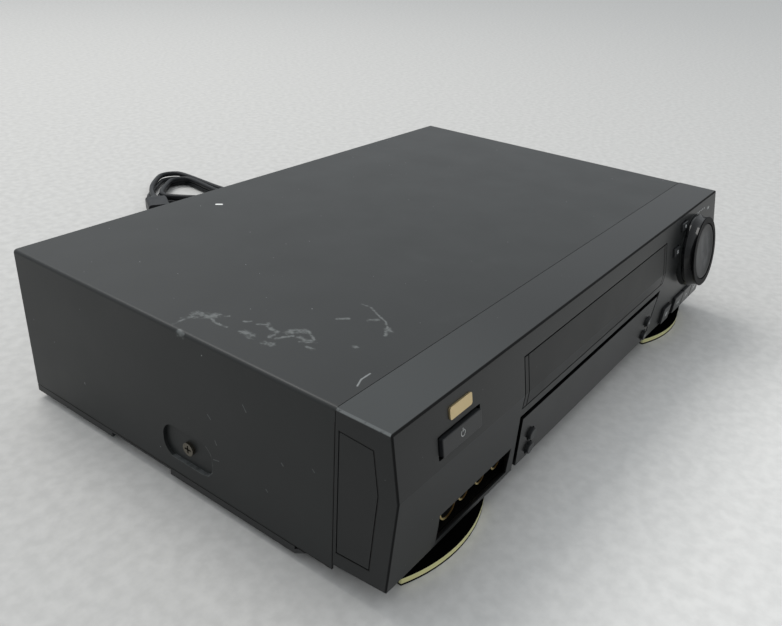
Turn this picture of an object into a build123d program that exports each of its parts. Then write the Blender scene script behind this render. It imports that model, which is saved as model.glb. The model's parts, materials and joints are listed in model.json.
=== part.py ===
from build123d import *
import os
from math import atan2, cos, degrees, pi, radians, sin, sqrt, tan

# A home video cassette recorder, built from its separate pieces.
#
# Frame: X runs along the front, to the right of someone facing it. Y runs to the rear and Z up.
# The feet stand on Z = 0, and X = 0, Y = 0 is the middle of the footprint without the cord.
# A place inside the case is given by its depth behind the fascia's top front edge and,
# on the front, by its drop below the top of the case. All sizes are in millimetres.

# Case
body_width = 400.0
body_height = 94.0
half_width = body_width / 2
cover_length = 228.0
cover_sheet = 1.0
cover_edge_radius = 2.0
cover_hem = 8.9
cover_rear_flange = 11.0
seam_gap = 0.3
foot_height = 4.4

# Fascia: two flat facets that meet at a crease, with a short step back to the cover
fascia_depth = 27.1
fascia_wall = 2.2
fascia_edge_round = 0.7
crease_out = 5.17
crease_drop = 30.9
toe_out = 1.84
toe_z = 13.7
heel_z = 11.5
toe_drop = body_height - toe_z
heel_drop = body_height - heel_z
lip_length = 5.0
lip_sheet = 1.2
floor_relief_rise = 0.9
floor_relief_drop = toe_drop - floor_relief_rise
floor_relief_depth = 13.5
floor_relief_gap = 0.5

# Openings in the fascia are cut from this far outside a facet to this far inside the wall
cut_above = 1.6
cut_below = 0.05

# Chevron caps let into the ends of the fascia
inset_sheet = 1.0
inset_sink = 0.1
inset_gap = 0.45
inset_rear_depth = 25.4
inset_top_drop = 9.8
inset_bottom_rise = 6.3
inset_bottom_drop = toe_drop - inset_bottom_rise
inset_margin = 9.6
inset_crease_shift = 0.6
inset_top_slope = 1.0
inset_bottom_slope = 1.2

# Cassette door
door_half_width = 96.5
door_top_drop = 11.4
door_bottom_drop = 38.6
door_sheet = 2.0
door_gap = 0.8
door_line_inset = 3.5
door_line_width = 0.8
door_line_depth = 0.6
hinge_depth = 3.2
hinge_drop = 7.5
hinge_pin_radius = 1.1
hinge_running_gap = 0.05
hinge_eye_radius = 1.9
hinge_ear_sheet = 2.0
hinge_ear_inset = 4.5
hinge_ear_lap = 5.0
hinge_boss_radius = 3.0
hinge_boss_length = 3.2
hinge_boss_gap = 0.6
hinge_pin_end_gap = 0.2

# Display window, in a slant-ended recess below the door
window_half_width = 97.0
window_slant = 3.9
window_top_drop = 44.0
window_groove = 4.2
window_left_groove = 4.5
window_right_gap = 0.4
window_groove_depth = 5.0
window_sheet = 1.6
window_sink = 0.2
window_foot_gap = 0.1
window_wall_gap = 0.1
window_flange = 1.6

# Keys: a cap in a hole, a flange behind the wall and a plunger
key_seat = 0.3
key_flange = 1.2
key_flange_sheet = 1.2
key_travel = 0.8
key_round = 0.4
key_corner = 0.6
key_hole_corner = 0.8
plunger_radius = 1.6
plunger_gap = 0.3
switch_size = 6.0
switch_height = 3.0
power_x = 45.4 - half_width
power_drop = 21.4
power_width = 30.3
power_height = 8.6
power_gap = 1.4
power_proud = 1.6
transport_rise = 7.7
transport_drop = toe_drop - transport_rise
transport_height = 12.0
transport_width = 17.6
transport_pitch = 18.6
transport_first_x = half_width - 50.0
stop_key_x = half_width - 74.5
stop_key_width = 14.0
transport_gap = 0.8
transport_proud = 2.0
round_key_radius = 3.3
round_key_gap = 0.7
round_key_flange = 0.3
round_key_proud = 1.6
round_key_x = (-77.8, -76.8, 88.0, 87.0)
round_key_rise = (15.5, 5.6, 15.5, 5.6)
round_key_drop = [toe_drop - rise for rise in round_key_rise]
corner_key_width = 10.0
corner_key_height = 5.2
corner_key_x = (half_width - 71.0, half_width - 85.0)
corner_key_drop = (7.9, 21.6)
corner_key_gap = 0.7
corner_key_proud = 1.5

# Jog and shuttle dial
dial_x = half_width - 52.2
dial_drop = 30.0
dial_seat_radius = 25.2
dial_seat_height = 1.4
ring_radius = 25.0
ring_rim_radius = 24.1
ring_waist_radius = 23.7
dial_reach = 9.7
ring_inner_radius = 19.7
disc_radius = 19.3
disc_dish = 1.3
disc_dish_radius = 17.6
ring_sleeve_radius = 8.0
ring_sleeve_wall = 1.8
disc_shaft_radius = 4.0
disc_shaft_out = 1.0
disc_sink = 0.3
dial_running_gap = 0.05
dial_gap = 0.4
dial_sleeve_length = 9.0
ring_step = 1.6
ring_floor = 2.0
dial_edge = 0.4
encoder_size = 24.0
encoder_corner = 2.0
encoder_height = 2.4
encoder_lift = 1.0

# Front jacks
jack_rise = 9.7
jack_drop = toe_drop - jack_rise
jack_first_x = 95.8 - half_width
jack_pitch = 15.0
jack_count = 3
jack_radius = 4.15
jack_shell = 0.8
jack_bore_radius = 1.6
svideo_x = 52.4 - half_width
svideo_radius = 6.5
jack_set_back = 4.8
jack_insert_step = 0.5
svideo_pins = ((-2.2, 1.0), (2.2, 1.0), (-1.5, -2.0), (1.5, -2.0))
svideo_pin_radius = 0.6
svideo_key_offset = 3.0
svideo_key_width = 2.2
svideo_key_height = 1.2
recess_left_x = 36.7 - half_width
recess_right_x = 100.2 - half_width
recess_top_rise = 18.2
recess_top_drop = toe_drop - recess_top_rise
recess_bottom_rise = 2.7
recess_bottom_drop = toe_drop - recess_bottom_rise
recess_depth = 12.0
tray_front = 0.6
tray_sheet = 1.5
tray_gap = 0.5

# Plain raised gold bar above the power key
badge_x = 46.4 - half_width
badge_drop = 9.4
badge_width = 17.0
badge_height = 6.0
badge_proud = 0.8
badge_corner = 1.2

# Base chassis
base_sheet = 2.0
base_ramp_start = 41.0
base_ramp_end = 49.6
base_rim_sheet = 1.8
base_rim_gap = 0.4
base_notch_start = 136.0
base_notch_end = 184.5
base_notch_lift = 2.9
upstand_sheet = 1.4
upstand_height = 24.0
upstand_end_gap = 4.0
base_front_step = 1.7
base_gap = 0.1
screw_tab_height = 33.0
screw_tab_width = 20.0

# Side screw dish, pressed into each side of the cover
dish_depth_from_front = 120.9
dish_z = 27.3
dish_length = 36.0
dish_height = 19.6
dish_corner = 8.5
dish_sink = 2.0
screw_radius = 1.8
screw_clearance = 0.2
screw_head_radius = 3.6
screw_head_height = 1.8
screw_length = 8.0
screw_slot_width = 1.0
screw_slot_length = 4.4
screw_slot_depth = 1.0
rear_screw_x = half_width - 40.0

# Rear panel and what stands in it
panel_sheet = 1.5
panel_side_gap = 2.0
panel_top_gap = 0.3
panel_hole_gap = 0.4
module_gap = 0.2
connector_reach = 11.3
tuner_x = 29.0 - half_width
tuner_width = 22.0
tuner_length = 62.0
tuner_bottom = 22.0
tuner_height = 52.0
tuner_foot_inset = 3.0
tuner_foot_start = 8.0
tuner_foot_length = 42.0
connector_radius = 4.75
connector_collar_radius = 6.2
connector_collar_proud = 1.3
connector_bore = 1.2
connector_low_z = 36.0
connector_pitch = 24.0
rear_jack_x = 71.0 - half_width
rear_jack_pitch = 16.0
rear_jack_columns = 3
rear_jack_length = 8.0
rear_boss_radius = 5.4
rear_boss_proud = 0.8
rear_block_depth = 12.0
rear_block_side = 7.0
rear_block_top = 9.0
outlet_x = half_width - 50.0
outlet_z = 30.0
outlet_gap = 0.1

# Feet
foot_center_x = half_width - 54.5
foot_half_width = 35.5
foot_bow_radius = 85.0
foot_bow_depth = -4.7
foot_rear_depth = 26.0
foot_top = 11.2
trim_bottom = 1.1
trim_top = 4.1
trim_sheet = 1.2
rear_foot_radius = 11.0
rear_foot_x = half_width - 50.0
rear_foot_depth = 225.0

# Circuit boards
board_sheet = 1.6
board_z = 12.0
post_radius = 3.5
deck_post_radius = 4.0
post_hole_gap = 1.0
deck_post_x = 98.0
deck_post_depths = (54.0, 241.0)
board_post_xs = (16.0 - half_width, 80.0 - half_width, 84.0)
board_post_depths = (72.0, 240.0)
power_post_xs = (116.0, half_width - 15.0)
power_post_depths = (157.0, 239.0)
front_board_depth = 16.0
front_board_step_z = body_height - 44.0
front_board_wing_z = body_height - 6.0
front_board_half_width = half_width - 10.0
front_board_slot_margin = 12.0
front_board_foot_gap = 0.2
display_width = 128.0
display_height = 24.0
display_depth = 7.0
display_lift = 8.0
display_glass_margin = 6.0
display_glass_drop = 2.5
display_glass_sheet = 1.4
main_board_left = 8.0 - half_width
main_board_right = 104.0
main_board_front = 60.0
main_board_rear = 248.0
power_board_left = 109.0
power_board_right = half_width - 8.0
power_board_front = 150.0
power_board_rear = 246.0
# Parts that stand on a board: x, depth, width, length, height
main_board_blocks = ((50.0 - half_width, 150.0, 56.0, 44.0, 14.0),
                     (62.0 - half_width, 66.0, 32.0, 6.0, 7.0),
                     (-60.0, 90.0, 24.0, 24.0, 1.4), (-10.0, 90.0, 18.0, 30.0, 1.4),
                     (-60.0, 200.0, 30.0, 14.0, 1.4))
heat_sink = (118.0, 205.0, 2.0, 34.0, 34.0)
# Capacitors: x, depth, radius, height
main_board_cans = [(inset - half_width, depth, 4.0, 11.0) for inset in (24.0, 40.0, 56.0)
                   for depth in (90.0, 108.0)]
power_board_cans = ((half_width - 25.0, 205.0, 11.0, 32.0), (122.0, 165.0, 4.5, 18.0),
                    (134.0, 165.0, 4.5, 18.0), (146.0, 165.0, 4.5, 18.0))
transformer_x = half_width - 53.0
transformer_depth = 203.0
transformer_width = 32.0
transformer_length = 30.0
transformer_foot = 6.0
core_width = 30.0
core_length = 12.0
core_height = 26.0
winding_radius = 12.0
winding_height = 20.0
ribbon_left = 48.0 - half_width
ribbon_width = 28.0
ribbon_sheet = 0.6
ribbon_top = 40.0
ribbon_shelf = 12.0
ribbon_bend_depth = 58.0
ribbon_end_depth = 68.0
ribbon_bend_shift = 0.3

# Tape deck
cassette_width = 188.0
cassette_height = 25.0
cassette_play = 1.5
cassette_head_room = 0.4
deck_z = 30.0
deck_sheet = 1.6
deck_half_width = 104.5
deck_front = 38.5
deck_rear = 249.5
holder_front = 38.5
holder_length = 105.0
holder_sheet = 1.2
holder_lip = 12.7
holder_floor_rise = 1.8
holder_floor_z = body_height - door_bottom_drop + holder_floor_rise
holder_in = 36.0
holder_down = 22.0
holder_pin_radius = 2.0
holder_pin_z = body_height - 24.0
holder_front_pin = 18.0
holder_rear_pin = 84.0
slide_sheet = 1.2
slide_gap = 0.3
slide_side_gap = 1.1
slide_front_margin = 9.0
slide_bottom_z = 41.0
slide_top_z = body_height - 16.0
slide_tail = 6.0
bracket_sheet = 1.4
bracket_gap = 0.7
bracket_rail = 2.0
bracket_rail_margin = 4.0
bracket_top_z = body_height - 3.5
bracket_rear = 190.0
bracket_foot = 4.0
reel_x = 46.0
reel_depth = 117.0
reel_radius = 20.0
reel_lift = 0.6
reel_disc = 2.4
reel_hub_radius = 5.0
reel_hub_height = 17.5
reel_hub_cap = 1.2
reel_spline_length = 4.0
reel_spline_width = 1.6
reel_splines = 3
deck_pin_radius = 2.0
pin_end_gap = 0.8
running_gap = 0.05
idler_pivot_depth = 98.0
idler_length = 26.0
idler_radius = 14.0
idler_pin_height = 3.0
idler_arm_lift = 0.3
idler_arm_sheet = 1.0
idler_disc = 1.4
drum_depth = 214.0
drum_radius = 31.0
drum_tilt = 6.0
drum_lift = 5.0
lower_drum_height = 12.0
upper_drum_height = 14.0
drum_gap = 0.35
drum_shaft_radius = 3.0
drum_foot_radius = 18.0
drum_foot_lap = 2.0
drum_shaft_end_gap = 1.0
drum_rim = 4.0
drum_hub = 5.0
drum_dish = 2.0
capstan_x = 58.0
capstan_depth = 184.0
capstan_radius = 1.5
capstan_top = 61.0
rotor_radius = 28.0
rotor_bottom = 15.4
rotor_height = 4.0
stator_radius = 25.0
stator_gap = 0.4
stator_height = 3.0
bearing_radius = 3.8
bearing_hole_gap = 0.3
bearing_top_gap = 0.6
bearing_flange_radius = 10.0
bearing_flange_sheet = 2.4
pinch_pivot_x = 82.0
pinch_pivot_depth = 190.0
pinch_arm_length = 24.8
pinch_rest_angle = 237.2
pinch_roller_radius = 6.0
pinch_roller_bottom = 37.0
pinch_roller_top = 57.0
roller_pin_radius = 1.5
roller_pin_end = 1.5
roller_gap = 0.3
pinch_pivot_height = 7.0
pinch_pin_height = 8.0
arm_half_width = 3.5
arm_sheet = 2.0
arm_lift = 0.4
guide_start_x = 28.0
guide_start_depth = 163.0
guide_end_x = 42.0
guide_end_depth = 206.0
guide_slot_width = 5.0
guide_pin_radius = 2.2
guide_pin_drop = 3.0
guide_sled = 12.0
guide_sled_corner = 2.0
guide_sled_sheet = 2.4
guide_post_radius = 3.0
guide_post_top = 56.5
slant_post_radius = 1.5
slant_post_edge = 0.3
slant_post_back = 3.0
slant_post_short = 2.0
cam_x = -78.0
cam_depth = 215.0
cam_radius = 16.0
cam_sheet = 4.0
cam_z = 38.0
cam_hub_radius = 5.0
cam_hub_top = 44.0
cam_pin_radius = 2.5
cam_teeth = 32
cam_tooth_depth = 1.6
cam_tooth_fill = 0.9
cam_tooth_root = 0.3
worm_gap = 0.35
worm_radius = 4.0
worm_thread = 0.8
worm_length = 22.0
worm_rings = 6
worm_ring_fill = 0.5
motor_gap = 3.0
motor_radius = 8.0
motor_length = 25.0
motor_shaft_radius = 1.0
motor_shaft_reach = 10.0
motor_bore_end_gap = 1.0
cradle_inset = 3.0
cradle_width_share = 1.2
cradle_top_share = 0.7
head_width = 12.0
head_depth = 8.0
head_height = 16.0
head_post_radius = 3.0
head_post_height = 8.0
erase_head_x = -58.0
erase_head_depth = 186.0
sound_head_x = 60.0
sound_head_depth = 203.0

# Mains cord: a short lead down to a tied hank that lies behind the recorder, and its plug
cord_radius = 2.5
relief_radius = 5.0
relief_end_radius = 3.4
relief_length = 24.0
relief_flange_radius = 8.0
relief_flange_sheet = 2.0
relief_inner_length = 2.0
hank_x = 47.0
hank_depth = 485.0
hank_toward_x = 0.58
hank_toward_y = -0.815
hank_height = 17.0
hank_lift = 0.3
hank_edge_round = 4.0
hank_far_loop = (((9.0, 9.0), 12.0), ((17.0, 58.0), 19.5), ((105.0, 8.0), 11.0))
hank_near_loop = (((105.0, 8.0), 11.0), ((172.0, 28.0), 15.0), ((178.0, -8.0), 13.0))
lead_points = ((150.0, 278.1, 30.0), (150.0, 293.0, 30.0), (149.3, 308.5, 23.5), (147.5, 321.0, 13.5),
               (145.4, 333.0, 8.0))
plug_sink = 0.6
plug_toward_x = -0.5
plug_toward_y = -0.87
plug_neck = 12.0
plug_neck_lap = 1.0
plug_neck_start = 1.0
plug_neck_end = 2.4
plug_length = 26.0
plug_width = 20.0
plug_height = 13.0
plug_round = 3.0
plug_back_round = 1.8
blade_length = 17.0
blade_width = 6.4
blade_sheet = 1.5
blade_spacing = 12.7

# ---------------------------------------------------------------------------
# Worked out from the sizes above
# ---------------------------------------------------------------------------
upper_tilt = degrees(atan2(crease_out, crease_drop))
lower_tilt = degrees(atan2(crease_out - toe_out, toe_drop - crease_drop))
cover_start = fascia_depth + seam_gap
rear_depth = cover_start + cover_length
panel_depth = rear_depth - cover_sheet - seam_gap - panel_sheet
nose_depth = -(dial_drop * tan(radians(upper_tilt)) + dial_reach * cos(radians(upper_tilt))
               + ring_rim_radius * sin(radians(upper_tilt)))
tail_depth = panel_depth + panel_sheet + connector_reach
front_y = -(nose_depth + tail_depth) / 2
floor_slope = (heel_drop - toe_drop) / (fascia_depth + toe_out)
deck_top = deck_z + deck_sheet
board_top = board_z + board_sheet
holder_inner_half = (cassette_width + cassette_play) / 2
holder_half = holder_inner_half + holder_sheet
holder_ceiling_z = holder_floor_z + cassette_height + cassette_head_room
slide_inner_x = holder_half + slide_side_gap
bracket_inner_x = slide_inner_x + slide_sheet + bracket_gap
base_floor_z = foot_height + base_sheet
bearing_top = pinch_roller_bottom - bearing_top_gap
module_rear = panel_depth - module_gap


def y_at(depth):
    return front_y + depth


def z_at(drop):
    return body_height - drop


def facet_depth(drop):
    """Depth of the fascia's outer skin at a drop below the top."""
    if drop < crease_drop:
        return -drop * tan(radians(upper_tilt))
    return -crease_out + (drop - crease_drop) * tan(radians(lower_tilt))


def floor_z(depth):
    """Height of the fascia's inner floor at a depth."""
    return z_at(toe_drop + (depth + toe_out) * floor_slope) + fascia_wall


def front_plane(depth):
    """Upright plane across the recorder that faces the front: local x is X and local y is Z."""
    return Plane.XZ.offset(-y_at(depth))


def side_plane(side, depth, z):
    """Plane on the outer side of the case at a point, facing out."""
    origin = (side * half_width, y_at(depth), z)
    return Plane(origin=origin, x_dir=(0, side, 0), z_dir=(side, 0, 0))


upper_face = Plane(origin=(0, y_at(0), body_height), x_dir=(1, 0, 0),
                   z_dir=(0, -cos(radians(upper_tilt)), sin(radians(upper_tilt))))
lower_face = Plane(origin=(0, y_at(-crease_out), z_at(crease_drop)), x_dir=(1, 0, 0),
                   z_dir=(0, -cos(radians(lower_tilt)), -sin(radians(lower_tilt))))


def on_face(x, drop):
    """The facet that carries a point, and the point's place on it."""
    if drop < crease_drop:
        return upper_face, (x, -drop / cos(radians(upper_tilt)))
    return lower_face, (x, -(drop - crease_drop) / cos(radians(lower_tilt)))


def behind_face(x, drop, depth):
    """Where the line square to the facet at a point crosses a depth, and the line's length from the facet."""
    face, point = on_face(x, drop)
    origin = face.from_local_coords((*point, 0))
    reach = (origin.Y - y_at(depth)) / face.z_dir.Y
    return origin - face.z_dir * reach, reach


def stand_blocks(blocks, bottom):
    """Adds upright blocks, each with its x, depth, width, length and height."""
    for x, depth, width, length, height in blocks:
        with Locations((x, y_at(depth), bottom)):
            Box(width, length, height, align=(Align.CENTER, Align.CENTER, Align.MIN))


def stand_cans(cans, bottom):
    """Adds upright cylinders, each with its x, depth, radius and height."""
    for x, depth, radius, height in cans:
        with Locations((x, y_at(depth), bottom)):
            Cylinder(radius, height, align=(Align.CENTER, Align.CENTER, Align.MIN))


def write_piece(piece, name):
    piece.part.label = name
    export_step(piece.part, f"parts/{name}.step")


os.makedirs("parts", exist_ok=True)

# Keys: name, x, drop, width, height, clear gap in the fascia, height above the facet
keys = [("power_button", power_x, power_drop, power_width, power_height, power_gap, power_proud),
        ("stop_key", stop_key_x, transport_drop, stop_key_width, transport_height,
         transport_gap, transport_proud)]
row_names = ("rewind_key", "play_key", "forward_key")
for index, name in enumerate(row_names):
    keys.append((name, transport_first_x + index * transport_pitch, transport_drop, transport_width,
                 transport_height, transport_gap, transport_proud))
for index, name in enumerate(("record_key", "eject_key")):
    keys.append((name, corner_key_x[index], corner_key_drop[index], corner_key_width,
                 corner_key_height, corner_key_gap, corner_key_proud))
round_keys = list(zip(("menu_key", "timer_key", "channel_up_key", "channel_down_key"),
                      round_key_x, round_key_drop))

# ---------------------------------------------------------------------------
# Case
# ---------------------------------------------------------------------------

# Steel cover: a folded top and sides, a short flange down the rear and a dish on each side
with BuildPart() as top_cover:
    with Locations((0, y_at(cover_start), cover_hem)):
        Box(body_width, cover_length, body_height - cover_hem,
            align=(Align.CENTER, Align.MIN, Align.MIN))
    fillet(top_cover.edges().filter_by(Axis.Y).group_by(Axis.Z)[-1], cover_edge_radius)
    with Locations((0, y_at(cover_start), cover_hem)):
        Box(body_width - 2 * cover_sheet, cover_length - cover_sheet, body_height - cover_hem - cover_sheet,
            align=(Align.CENTER, Align.MIN, Align.MIN), mode=Mode.SUBTRACT)
    with Locations((0, y_at(rear_depth), cover_hem)):
        Box(body_width - 2 * cover_sheet, 2 * cover_sheet,
            body_height - cover_hem - cover_sheet - cover_rear_flange,
            align=(Align.CENTER, Align.CENTER, Align.MIN), mode=Mode.SUBTRACT)
    for side in (-1, 1):
        dish = side_plane(side, dish_depth_from_front, dish_z)
        with BuildSketch(dish.offset(-cover_sheet)):
            RectangleRounded(dish_length + 2 * cover_sheet, dish_height + 2 * cover_sheet,
                             dish_corner + cover_sheet)
        extrude(amount=-dish_sink)
        with BuildSketch(dish):
            RectangleRounded(dish_length, dish_height, dish_corner)
        extrude(amount=-dish_sink, mode=Mode.SUBTRACT)
        with BuildSketch(dish):
            Circle(screw_radius + screw_clearance)
        extrude(amount=-(dish_sink + 2 * cover_sheet), mode=Mode.SUBTRACT)
    rear_screw_z = body_height - cover_sheet - cover_rear_flange / 2
    rear_screw_xs = (-rear_screw_x, 0.0, rear_screw_x)
    with BuildSketch(Plane.XZ.offset(-y_at(rear_depth))):
        with Locations(*[(x, rear_screw_z) for x in rear_screw_xs]):
            Circle(screw_radius + screw_clearance)
    extrude(amount=2 * cover_sheet, both=True, mode=Mode.SUBTRACT)
write_piece(top_cover, "top_cover")

# Moulded fascia: a hollow shell, open to the rear, with a lip that runs under the cover
fascia_outline = [(y_at(fascia_depth), z_at(0)), (y_at(0), z_at(0)),
                  (y_at(-crease_out), z_at(crease_drop)), (y_at(-toe_out), z_at(toe_drop)),
                  (y_at(fascia_depth), z_at(heel_drop))]
hollow_end = fascia_depth + 2 * fascia_wall
with BuildPart() as front_fascia:
    with BuildSketch(Plane.YZ.offset(-half_width)):
        with BuildLine():
            Polyline(*fascia_outline, close=True)
        make_face()
    extrude(amount=body_width)
    fillet(front_fascia.edges().filter_by(Axis.X).group_by(Axis.Z)[-1].sort_by(Axis.Y)[0], fascia_edge_round)
    end_edges = front_fascia.edges().filter_by(Axis.X, reverse=True)
    chamfer(end_edges.filter_by(lambda edge: edge.center().Y < y_at(fascia_depth - 1)), fascia_edge_round)
    # Hollow
    with BuildSketch(Plane.YZ.offset(-half_width + fascia_wall)):
        with BuildLine():
            Polyline((y_at(hollow_end), z_at(0)), (y_at(0), z_at(0)), (y_at(-crease_out), z_at(crease_drop)),
                     (y_at(-toe_out), z_at(toe_drop)),
                     (y_at(hollow_end), z_at(heel_drop + 2 * fascia_wall * floor_slope)), close=True)
        make_face()
        offset(amount=-fascia_wall, kind=Kind.INTERSECTION)
    extrude(amount=body_width - 2 * fascia_wall, mode=Mode.SUBTRACT)
    # Lip under the front edge of the cover
    lip_out = cover_sheet + seam_gap
    lip_bottom = floor_z(fascia_depth) + seam_gap
    lip_height = body_height - lip_out - lip_bottom
    with Locations((0, y_at(fascia_depth - fascia_wall), lip_bottom)):
        Box(body_width - 2 * lip_out, lip_length + fascia_wall, lip_height,
            align=(Align.CENTER, Align.MIN, Align.MIN))
        Box(body_width - 2 * lip_out - 2 * lip_sheet, lip_length + fascia_wall, lip_height - lip_sheet,
            align=(Align.CENTER, Align.MIN, Align.MIN), mode=Mode.SUBTRACT)
    # The floor is thinner behind the lower facet, to clear the keys and the jack tray
    relief_half = transport_first_x + 2 * transport_pitch + transport_width / 2 + floor_relief_gap
    relief_front = facet_depth(floor_relief_drop) + fascia_wall - seam_gap
    with Locations((0, y_at(relief_front), z_at(floor_relief_drop))):
        Box(2 * relief_half, floor_relief_depth, fascia_wall,
            align=(Align.CENTER, Align.MIN, Align.MIN), mode=Mode.SUBTRACT)
    # Seat for the dial: a round collar square to the upper facet
    dial_face, dial_point = on_face(dial_x, dial_drop)
    with BuildSketch(dial_face.offset(-fascia_wall)):
        with Locations(dial_point):
            Circle(dial_seat_radius)
    extrude(amount=fascia_wall + dial_seat_height)
    with BuildSketch(dial_face.offset(dial_seat_height + dial_gap)):
        with Locations(dial_point):
            Circle(ring_sleeve_radius + dial_running_gap)
    extrude(amount=-(dial_sleeve_length + dial_seat_height), mode=Mode.SUBTRACT)
    # Cassette slot
    with Locations((0, y_at(-crease_out - cut_above), z_at(door_top_drop - door_gap))):
        Box(2 * (door_half_width + door_gap), crease_out + cut_above + fascia_wall,
            door_bottom_drop - door_top_drop + 2 * door_gap,
            align=(Align.CENTER, Align.MIN, Align.MAX), mode=Mode.SUBTRACT)
    # Hinge bosses at both ends of the slot
    for side in (-1, 1):
        boss_x = side * (door_half_width + door_gap + hinge_boss_gap)
        with BuildSketch(Plane.YZ.offset(boss_x)):
            with Locations((y_at(hinge_depth), z_at(hinge_drop))):
                Circle(hinge_boss_radius)
            with Locations((y_at(hinge_depth / 2), z_at(hinge_drop))):
                Rectangle(hinge_depth, 2 * hinge_boss_radius)
        extrude(amount=side * hinge_boss_length)
        with BuildSketch(Plane.YZ.offset(boss_x)):
            with Locations((y_at(hinge_depth), z_at(hinge_drop))):
                Circle(hinge_pin_radius + hinge_running_gap)
        extrude(amount=side * hinge_boss_length, mode=Mode.SUBTRACT)
    # Window recess
    recess_top = on_face(0, window_top_drop)[1][1]
    recess_end = on_face(0, toe_drop)[1][1]
    with BuildSketch(lower_face.offset(cut_above)):
        with BuildLine():
            Polyline((-window_half_width, recess_top), (window_half_width, recess_top),
                     (window_half_width - window_slant, recess_end - 1),
                     (-window_half_width + window_slant, recess_end - 1), close=True)
        make_face()
    extrude(amount=-(cut_above + fascia_wall + cut_below), mode=Mode.SUBTRACT)
    # Jack recess
    with BuildSketch(lower_face.offset(cut_above)):
        top = on_face(0, recess_top_drop)[1][1]
        bottom = on_face(0, recess_bottom_drop)[1][1]
        with BuildLine():
            Polyline((recess_left_x, top), (recess_right_x, top), (recess_right_x, bottom),
                     (recess_left_x, bottom), close=True)
        make_face()
    extrude(amount=-(cut_above + fascia_wall + cut_below), mode=Mode.SUBTRACT)
    # Key holes: the row of three shares one opening
    row_width = 2 * transport_pitch + transport_width
    holes = [key[1:6] for key in keys if key[0] not in row_names]
    holes.append((transport_first_x + transport_pitch, transport_drop, row_width, transport_height,
                  transport_gap))
    for x, drop, width, height, gap in holes:
        face, point = on_face(x, drop)
        with BuildSketch(face.offset(cut_above)):
            with Locations(point):
                RectangleRounded(width + 2 * gap, height + 2 * gap, key_hole_corner)
        extrude(amount=-(cut_above + fascia_wall + cut_below), mode=Mode.SUBTRACT)
    # Recesses for the end caps
    inset_front_drops = (inset_top_drop + inset_top_slope, crease_drop + inset_crease_shift,
                         inset_bottom_drop - inset_bottom_slope)
    inset_outline = [(inset_rear_depth, inset_top_drop)]
    inset_outline += [(facet_depth(drop) + inset_margin, drop) for drop in inset_front_drops]
    inset_outline.append((inset_rear_depth, inset_bottom_drop))
    for side in (-1, 1):
        with BuildSketch(Plane.YZ.offset(side * half_width)):
            with BuildLine():
                Polyline(*[(y_at(depth), z_at(drop)) for depth, drop in inset_outline], close=True)
            make_face()
        extrude(amount=-side * (inset_sheet + inset_sink), mode=Mode.SUBTRACT)
write_piece(front_fascia, "front_fascia")

# Chevron caps
with BuildPart() as side_insets:
    for side in (-1, 1):
        with BuildSketch(Plane.YZ.offset(side * (half_width - inset_sheet - inset_sink))):
            with BuildLine():
                Polyline(*[(y_at(depth), z_at(drop)) for depth, drop in inset_outline], close=True)
            make_face()
            offset(amount=-inset_gap, kind=Kind.INTERSECTION)
        extrude(amount=side * inset_sheet)
write_piece(side_insets, "side_insets")

# Plain gold bar
with BuildPart() as badge_bar:
    face, point = on_face(badge_x, badge_drop)
    with BuildSketch(face):
        with Locations(point):
            RectangleRounded(badge_width, badge_height, badge_corner)
    extrude(amount=badge_proud)
write_piece(badge_bar, "badge_bar")

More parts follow.
